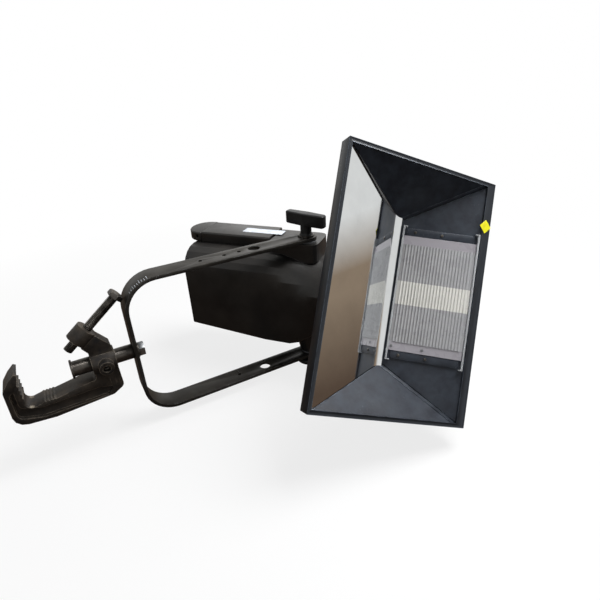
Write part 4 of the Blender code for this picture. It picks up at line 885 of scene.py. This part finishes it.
def make_world():
    """White to the camera, the room's tone in mirrors, and a dim even light to the rest."""
    world = bpy.data.worlds.new("studio")
    bpy.context.scene.world = world
    world.use_nodes = True
    tree = world.node_tree
    soft = tree.nodes["Background"]
    soft.inputs["Color"].default_value = AMBIENT_TINT
    soft.inputs["Strength"].default_value = AMBIENT_STRENGTH
    white = node(tree, "ShaderNodeBackground", Color=WHITE, Strength=1.0)
    room = node(tree, "ShaderNodeBackground", Color=room_tone(tree), Strength=1.0)
    path = node(tree, "ShaderNodeLightPath")
    seen = sums(tree, "MAXIMUM", path.outputs["Is Camera Ray"], path.outputs["Is Transmission Ray"])
    glossy = path.outputs["Is Glossy Ray"]
    lit = mixed_shader(tree, glossy, soft.outputs["Background"], room.outputs["Background"])
    lit = mixed_shader(tree, seen, lit, white.outputs["Background"])
    tree.links.new(lit, tree.nodes["World Output"].inputs["Surface"])


def room_tone(tree):
    """What a mirror or a shiny coat sees of the room: pale above, warm and dim below."""
    where = node(tree, "ShaderNodeNewGeometry").outputs["Incoming"]
    height = node(tree, "ShaderNodeSeparateXYZ", Vector=where).outputs["X"]
    upper = blend_colours(tree, ramp(tree, height, -0.01, 0.10), ROOM_HIGH, ROOM_MIDDLE)
    return blend_colours(tree, ramp(tree, height, 0.14, 0.32), upper, ROOM_LOW)


class LAMP_OT_clamp(bpy.types.Operator):
    """Cast clamp with broken edges, its spigot and its set screw"""
    bl_idname = "lamp.clamp"
    bl_label = "Clamp"

    def execute(self, context):
        softened("clamp_casting", "cast_iron", "cast_iron", 0.0007)
        softened("spigot", "black_steel", "black_steel", 0.0005)
        softened("clamp_set_screw", "black_steel", "black_steel", 0.0003)
        return {"FINISHED"}


class LAMP_OT_pipe_bolt(bpy.types.Operator):
    """Threaded pipe bolt with a chamfered hexagon head"""
    bl_idname = "lamp.pipe_bolt"
    bl_label = "Pipe bolt"

    def execute(self, context):
        make_pipe_bolt(context.scene.lamp_thread)
        return {"FINISHED"}


BOLT_RADIUS = 0.006
BOLT_SHAFT = 0.089
BOLT_HEAD = 0.0065
BOLT_FLATS = 0.018
BOLT_AIM = Vector((0, 0, -0.0045))
BOLT_TIP_REACH = 0.045
BOLT_PAST_HEAD = 0.001
BOLT_CROWN_ROUND = 0.0011
THREAD_STEPS = 20
THREAD_MERGE = 0.00002


def make_pipe_bolt(settings):
    """The thread is one turn's profile, screwed round the shaft and trimmed flat."""
    pitch = settings.pitch
    root = BOLT_RADIUS - settings.depth
    bpy.ops.object.select_all(action="DESELECT")
    bpy.ops.mesh.primitive_plane_add(size=0.001, location=(0, 0, 0))
    thread = named("pipe_bolt_fine")
    edit(thread, "VERT")
    bpy.ops.mesh.select_all(action="SELECT")
    bpy.ops.mesh.merge(type="CENTER")
    bpy.ops.transform.translate(value=(root, 0, -pitch))
    flank_crest_flank_root = ((settings.depth, 0.38), (0, 0.16), (-settings.depth, 0.38), (0, 0.08))
    for out, up in flank_crest_flank_root:
        bpy.ops.mesh.extrude_region_move(TRANSFORM_OT_translate={"value": (out, 0, up * pitch)})
    done()
    turns = math.ceil(BOLT_SHAFT / pitch) + 2
    modify(thread, "SCREW", axis="Z", steps=THREAD_STEPS, render_steps=THREAD_STEPS, screw_offset=pitch,
           iterations=turns, use_merge_vertices=True, merge_threshold=THREAD_MERGE)
    edit(thread)
    bpy.ops.mesh.select_all(action="SELECT")
    bpy.ops.mesh.remove_doubles(threshold=THREAD_MERGE)
    for height, outwards in ((0, -1), (BOLT_SHAFT + BOLT_PAST_HEAD, 1)):
        bpy.ops.mesh.bisect(
            plane_co=(0, 0, height), plane_no=(0, 0, outwards), clear_outer=True, use_fill=True)
        bpy.ops.mesh.select_all(action="SELECT")
    bpy.ops.mesh.normals_make_consistent(inside=False)
    done()
    head = add_drum("bolt_head", BOLT_FLATS / math.sqrt(3), BOLT_SHAFT, BOLT_SHAFT + BOLT_HEAD, 6)
    crown = add_drum(
        "bolt_crown", BOLT_FLATS * 0.58, BOLT_SHAFT - BOLT_PAST_HEAD, BOLT_SHAFT + BOLT_HEAD, 48)
    round_edges(crown, BOLT_CROWN_ROUND, 1)
    cut_with(head, crown, "INTERSECT")
    round_edges(head, 0.0003, 2)
    bolt = joined("pipe_bolt_fine", [thread, head])
    away = -BOLT_AXIS
    turn = Matrix.Rotation(math.atan2(away.x, away.z), 4, "Y")
    put(bolt, Matrix.Translation(BOLT_AIM + away * BOLT_TIP_REACH) @ turn)
    smooth(bolt, 40)
    finished(bolt, "black_steel", "pipe_bolt", "black_steel", "pipe_bolt")


class LAMP_OT_yoke(bpy.types.Operator):
    """Flat-bar yoke, its centre bolt and washers"""
    bl_idname = "lamp.yoke"
    bl_label = "Yoke"

    def execute(self, context):
        softened("yoke", "yoke_paint", "black_paint", 0.0006)
        make_yoke_scale()
        softened("yoke_bolt", "zinc_steel", "zinc_steel", 0.0005)
        for name in ("yoke_washer", "pivot_washer_right", "pivot_washer_left"):
            softened(name, "black_steel", "zinc_steel", 0.0003)
        return {"FINISHED"}


YOKE_TOP = -0.115
YOKE_HALF_SPAN = 0.1058
YOKE_BEND = 0.046
SCALE_TICKS = 9
SCALE_FIRST = 12.0
SCALE_STEP = 4.5
SCALE_EDGE = -0.0145
TICK_LONG = 0.009
TICK_SHORT = 0.0055
TICK_HALF_WIDTH = 0.0003
TICK_SUNK = 0.00005
TICK_PROUD = 0.0001


def make_yoke_scale():
    """Plain printed ticks round the outside of the yoke's bend, every third one longer."""
    centre = Vector((YOKE_HALF_SPAN - YOKE_BEND, 0, YOKE_TOP - YOKE_BEND))
    ticks = []
    for k in range(SCALE_TICKS):
        length = TICK_LONG if k % 3 == 0 else TICK_SHORT
        low = (YOKE_BEND - TICK_SUNK, SCALE_EDGE, -TICK_HALF_WIDTH)
        high = (YOKE_BEND + TICK_PROUD, SCALE_EDGE + length, TICK_HALF_WIDTH)
        tick = add_block("yoke_scale", low, high)
        turn = Matrix.Rotation(-math.radians(SCALE_FIRST + SCALE_STEP * k), 4, "Y")
        ticks.append(put(tick, Matrix.Translation(centre) @ turn))
    scale = joined("yoke_scale", ticks)
    finished(scale, "label_paper", "yoke", "black_paint")


class LAMP_OT_body(bpy.types.Operator):
    """Cast body, its side rail and the rail's rounded end"""
    bl_idname = "lamp.body"
    bl_label = "Body"

    def execute(self, context):
        softened("housing", "body_paint", "black_shell", 0.0008, 2, 40, 17)
        softened("side_rail", "body_paint", "black_shell", 0.0006)
        make_rail_label()
        softened("rail_end_cap", "body_paint", "black_shell", 0.0006)
        softened("hood_collar", "shell_paint", "black_shell", 0.0006)
        return {"FINISHED"}


LABEL_LOW = (0.047, -0.0325)
LABEL_HIGH = (0.117, -0.0135)
PAPER_LIFT = 0.00005
PAPER_THICKNESS = 0.0002


def make_rail_label():
    """A blank paper label on the rail's outer face."""
    low = (RAIL_FACE + PAPER_LIFT, *LABEL_LOW)
    high = (RAIL_FACE + PAPER_LIFT + PAPER_THICKNESS, *LABEL_HIGH)
    label = add_block("rail_label", low, high)
    round_edges(label, 0.00008, 1)
    put(label, HEAD)
    finished(label, "label_paper", "head", "black_shell")


class LAMP_OT_handles(bpy.types.Operator):
    """T-handle, round knob and collar screw"""
    bl_idname = "lamp.handles"
    bl_label = "Handles"

    def execute(self, context):
        softened("tilt_handle", "black_plastic", "black_plastic", 0.0008, 3)
        softened("pivot_knob", "black_plastic", "black_plastic", 0.0008, 3)
        softened("collar_lock_screw", "black_plastic", "black_plastic", 0.0006)
        for name in ("tilt_stud", "pivot_stud"):
            repaint(name, "zinc_steel")
        for name in ("friction_disc_right", "friction_disc_left"):
            repaint(name, "grey_plastic")
        return {"FINISHED"}


class LAMP_OT_hood(bpy.types.Operator):
    """Hood's rim, bowl, side walls and the box under the lens"""
    bl_idname = "lamp.hood"
    bl_label = "Hood"

    def execute(self, context):
        make_rim()
        make_seams()
        make_sticker()
        softened("hood_shell", "shell_paint", "black_paint", 0.0008)
        for name in ("hood_end_right", "hood_end_left", "lens_wall"):
            softened(name, "liner_slate", "slate_paint", 0.0003, 1)
        softened("fold_box", "shell_paint", "black_paint", 0.0010)
        softened("fold_box_cover", "shell_paint", "black_paint", 0.0008)
        return {"FINISHED"}


RIM_STEP_IN = 0.0019
RIM_STEP_DEEP = 0.0011
SEAM_WIDTH = 0.0045
SEAM_THICKNESS = 0.0006
SEAM_SHORT = 0.004
SEAM_OFF = 0.0003
SEAM_LIFT = 0.0002
STICKER_AT = (0.2163, 0.1045)
STICKER_SIDE = 0.0132
STICKER_THICKNESS = 0.00025


def make_rim():
    """The hood's rim, its front face sunk a little between two raised edges."""
    rim = traced("front_bezel", "front_bezel_fine")
    level = max(INTO_HOOD.dot(vertex.co) for vertex in rim.data.vertices)
    edit(rim)
    pick_faces(rim, lambda face: (
        face.normal.dot(INTO_HOOD) > 0.99 and INTO_HOOD.dot(middle(face)) > level - 0.0005))
    bpy.ops.mesh.inset(thickness=RIM_STEP_IN, use_boundary=True)
    bpy.ops.transform.translate(value=INTO_HOOD * -RIM_STEP_DEEP)
    done()
    round_edges(rim, 0.0004)
    smooth(rim)
    finished(rim, "slate_paint", "hood", "slate_paint", "front_bezel")


def make_seams():
    """Each side wall is folded over along the lens wall; the fold shows as a thin strip."""
    for label, side in (("right", 1), ("left", -1)):
        foot = Vector((DEEP_AT, side * FOOT_HALF, -HOOD_DEPTH))
        corner = Vector((LENS_WALL_TOP, side * WALL_HALF, UNDER_LIP))
        other = Vector((HOOD_WIDE - LENS_WALL_TOP, side * WALL_HALF, UNDER_LIP))
        along = (corner - foot).normalized()
        inwards = (corner - foot).cross(other - foot).normalized()
        if inwards.y * side > 0:
            inwards = -inwards
        place = Matrix((along, inwards.cross(along), inwards)).transposed().to_4x4()
        to_mirror = place.col[1].to_3d().dot(other - foot) > 0
        near = SEAM_OFF if to_mirror else -SEAM_OFF - SEAM_WIDTH
        reach = (corner - foot).length
        seam = add_block(
            f"hood_seam_{label}", (SEAM_SHORT, near, SEAM_LIFT),
            (reach - SEAM_SHORT, near + SEAM_WIDTH, SEAM_LIFT + SEAM_THICKNESS))
        round_edges(seam, 0.0002, 2)
        put(seam, MOUTH @ Matrix.Translation(foot) @ place)
        smooth(seam)
        finished(seam, "liner_slate", "hood", "slate_paint")


def make_sticker():
    """A blank diamond sticker on the lens side of the rim."""
    half = STICKER_SIDE / 2
    sticker = add_block("rim_sticker", (-half, -half, 0), (half, half, STICKER_THICKNESS))
    round_edges(sticker, 0.0001, 1)
    turn = Matrix.Rotation(math.radians(45), 4, "Z")
    put(sticker, MOUTH @ Matrix.Translation((*STICKER_AT, PAPER_LIFT)) @ turn)
    finished(sticker, "sticker_yellow", "hood", "slate_paint")


class LAMP_OT_mirrors(bpy.types.Operator):
    """Curved mirror of the hood and the flat mirror in the fold box"""
    bl_idname = "lamp.mirrors"
    bl_label = "Mirrors"

    def execute(self, context):
        sheet = traced("mirror", "mirror_fine")
        smooth(sheet, 40)
        modify(sheet, "WEIGHTED_NORMAL", keep_sharp=True)
        finished(sheet, "mirror_coat", "hood", "mirror_coat", "mirror")
        repaint("fold_mirror", "mirror_coat")
        return {"FINISHED"}


class LAMP_OT_lens(bpy.types.Operator):
    """Ribbed lens with its strips, end plates and screws"""
    bl_idname = "lamp.lens"
    bl_label = "Lens"

    def execute(self, context):
        make_ribbed_lens(context.scene.lamp_lens)
        make_strip("lens_clip_rear", LENS_START - STRIP_GAP - STRIP_WIDTH, 1)
        make_strip("lens_clip_front", LENS_START + LENS_WIDE + STRIP_GAP, -1)
        make_lens_studs()
        for name in ("lens_plate_right", "lens_plate_left"):
            softened(name, "liner_slate", "black_paint", 0.0003)
        for side in ("right", "left"):
            for k in (1, 2):
                softened(f"lens_screw_{side}_{k}", "black_steel", "zinc_steel", 0.0002)
        return {"FINISHED"}


def make_ribbed_lens(settings):
    """A flat plate with round ribs; its UV map holds the place on the lens wall in metres."""
    low = (LENS_START, -LENS_HALF, LENS_SEAT)
    high = (LENS_START + LENS_WIDE, LENS_HALF, LENS_FACE)
    plate = add_block("ribbed_lens_fine", low, high)
    round_edges(plate, 0.0003, 1)
    radius = RIB_PITCH / 2
    bpy.ops.object.select_all(action="DESELECT")
    bpy.ops.mesh.primitive_cylinder_add(vertices=RIB_SIDES, radius=radius, depth=2 * (LENS_HALF - RIB_BORDER))
    rib = named("rib")
    put(rib, Matrix.Rotation(math.radians(90), 4, "X"))
    rib.scale = (RIB_FILL, 1.0, settings.rib_height / radius)
    rib.location = (LENS_START + LENS_RIM + radius, 0, LENS_FACE)
    bpy.ops.object.transform_apply(location=True, rotation=True, scale=True)
    modify(rib, "ARRAY", count=RIB_COUNT, use_relative_offset=False, use_constant_offset=True,
           constant_offset_displace=(RIB_PITCH, 0, 0))
    cut_with(plate, rib, "UNION")
    first_map = plate.data.uv_layers.get("UVMap")
    if first_map is not None:
        plate.data.uv_layers.remove(first_map)
    wall = plate.data.uv_layers.new(name="wall")
    for loop in plate.data.loops:
        spot = plate.data.vertices[loop.vertex_index].co
        wall.data[loop.index].uv = (spot.x, spot.y)
    put(plate, LENS)
    smooth(plate, 40)
    finished(plate, "lens_acrylic", "hood", "clear_lens", "ribbed_lens")


HOOK_REACH = 0.0035
HOOK_THICKNESS = 0.0012
STUD_RADIUS = 0.0019
STUD_HEIGHT = 0.0006
STUD_CROWN = 0.0003
STUDS_AT = (0.0118, 0.0527)


def make_strip(node_name, start, inwards):
    """A clear strip along the lens, with a short hook towards the lens at each end."""
    top = LENS_SEAT + STRIP_HEIGHT
    strip = add_block(
        f"{node_name}_fine", (start, -STRIP_HALF, LENS_SEAT), (start + STRIP_WIDTH, STRIP_HALF, top))
    far = start + STRIP_WIDTH + HOOK_REACH if inwards > 0 else start - HOOK_REACH
    near = start + STRIP_WIDTH / 2
    for side in (1, -1):
        outer = side * STRIP_HALF
        inner = side * (STRIP_HALF - HOOK_THICKNESS)
        low = (min(near, far), min(outer, inner), LENS_SEAT)
        high = (max(near, far), max(outer, inner), top)
        cut_with(strip, add_block("hook", low, high), "UNION")
    round_edges(strip, 0.0003)
    put(strip, LENS)
    smooth(strip)
    finished(strip, "clear_strip", "hood", "clear_lens", node_name)


def make_lens_studs():
    """The two low studs on the lens's border, over the left end plate."""
    studs = []
    for up_wall in STUDS_AT:
        stud = add_drum("lens_studs", STUD_RADIUS, LENS_FACE, LENS_FACE + STUD_HEIGHT, 24)
        edit(stud)
        pick_faces(stud, lambda face: face.normal.z > 0.9)
        bpy.ops.mesh.inset(thickness=STUD_RADIUS * 0.4)
        bpy.ops.transform.translate(value=(0, 0, STUD_CROWN))
        done()
        place = LENS @ Matrix.Translation((up_wall, -LENS_HALF + RIB_BORDER / 2, 0))
        studs.append(put(stud, place))
    studs = joined("lens_studs", studs)
    smooth(studs)
    finished(studs, "grey_plastic", "hood", "clear_lens")


class LAMP_OT_rear(bpy.types.Operator):
    """Rear panel with its sockets, window, buttons and fuse"""
    bl_idname = "lamp.rear"
    bl_label = "Rear panel"

    def execute(self, context):
        softened("rear_panel", "shell_paint", "black_paint", 0.0004)
        softened("power_inlet", "blue_plastic", "blue_plastic", 0.0003)
        softened("power_outlet", "grey_plastic", "grey_plastic", 0.0003)
        for name in ("data_inlet", "data_outlet"):
            softened(name, "zinc_steel", "zinc_steel", 0.0003)
        softened("fuse_holder", "black_plastic", "black_plastic", 0.0003)
        softened("display_window", "dark_window", "dark_window", 0.0003)
        for k in range(1, 5):
            softened(f"menu_button_{k}", "grey_plastic", "grey_plastic", 0.0002)
        return {"FINISHED"}


ENGINE_LOOKS = {
    "barrel": "bare_aluminium", "heat_sink": "bare_aluminium", "emitter_board": "white_board",
    "engine_lens": "engine_glass", "fan_frame": "black_plastic", "fan_rotor": "black_plastic",
    "driver_board": "green_board", "control_board": "green_board",
}


class LAMP_OT_engine(bpy.types.Operator):
    """Finishes of the parts inside the body"""
    bl_idname = "lamp.engine"
    bl_label = "Light engine"

    def execute(self, context):
        for name, look in ENGINE_LOOKS.items():
            repaint(name, look)
        return {"FINISHED"}


OPERATORS = (
    LAMP_OT_stage, LAMP_OT_clamp, LAMP_OT_pipe_bolt, LAMP_OT_yoke, LAMP_OT_body, LAMP_OT_handles,
    LAMP_OT_hood, LAMP_OT_mirrors, LAMP_OT_lens, LAMP_OT_rear, LAMP_OT_engine,
)


class LAMP_PT_panel(bpy.types.Panel):
    """Buttons for each piece and the sizes that can be changed"""
    bl_idname = "LAMP_PT_panel"
    bl_label = "Wash light"
    bl_space_type = "VIEW_3D"
    bl_region_type = "UI"
    bl_category = "Wash light"

    def draw(self, context):
        scene = context.scene
        for settings in (scene.lamp_floor, scene.lamp_thread, scene.lamp_lens):
            for name in settings.bl_rna.properties.keys():
                if name not in ("rna_type", "name"):
                    self.layout.prop(settings, name)
        for operator in OPERATORS:
            self.layout.operator(operator.bl_idname)


SETTINGS = {"lamp_floor": FloorSettings, "lamp_thread": ThreadSettings, "lamp_lens": LensSettings}
CLASSES = (*SETTINGS.values(), *OPERATORS, LAMP_PT_panel)


def register():
    for cls in CLASSES:
        bpy.utils.register_class(cls)
    for name, group in SETTINGS.items():
        setattr(bpy.types.Scene, name, bpy.props.PointerProperty(type=group))


def unregister():
    for name in SETTINGS:
        delattr(bpy.types.Scene, name)
    for cls in reversed(CLASSES):
        bpy.utils.unregister_class(cls)


def main():
    register()
    bpy.ops.lamp.stage()
    bpy.ops.lamp.clamp()
    bpy.ops.lamp.pipe_bolt()
    bpy.ops.lamp.yoke()
    bpy.ops.lamp.body()
    bpy.ops.lamp.handles()
    bpy.ops.lamp.hood()
    bpy.ops.lamp.mirrors()
    bpy.ops.lamp.lens()
    bpy.ops.lamp.rear()
    bpy.ops.lamp.engine()


if __name__ == "__main__":
    main()
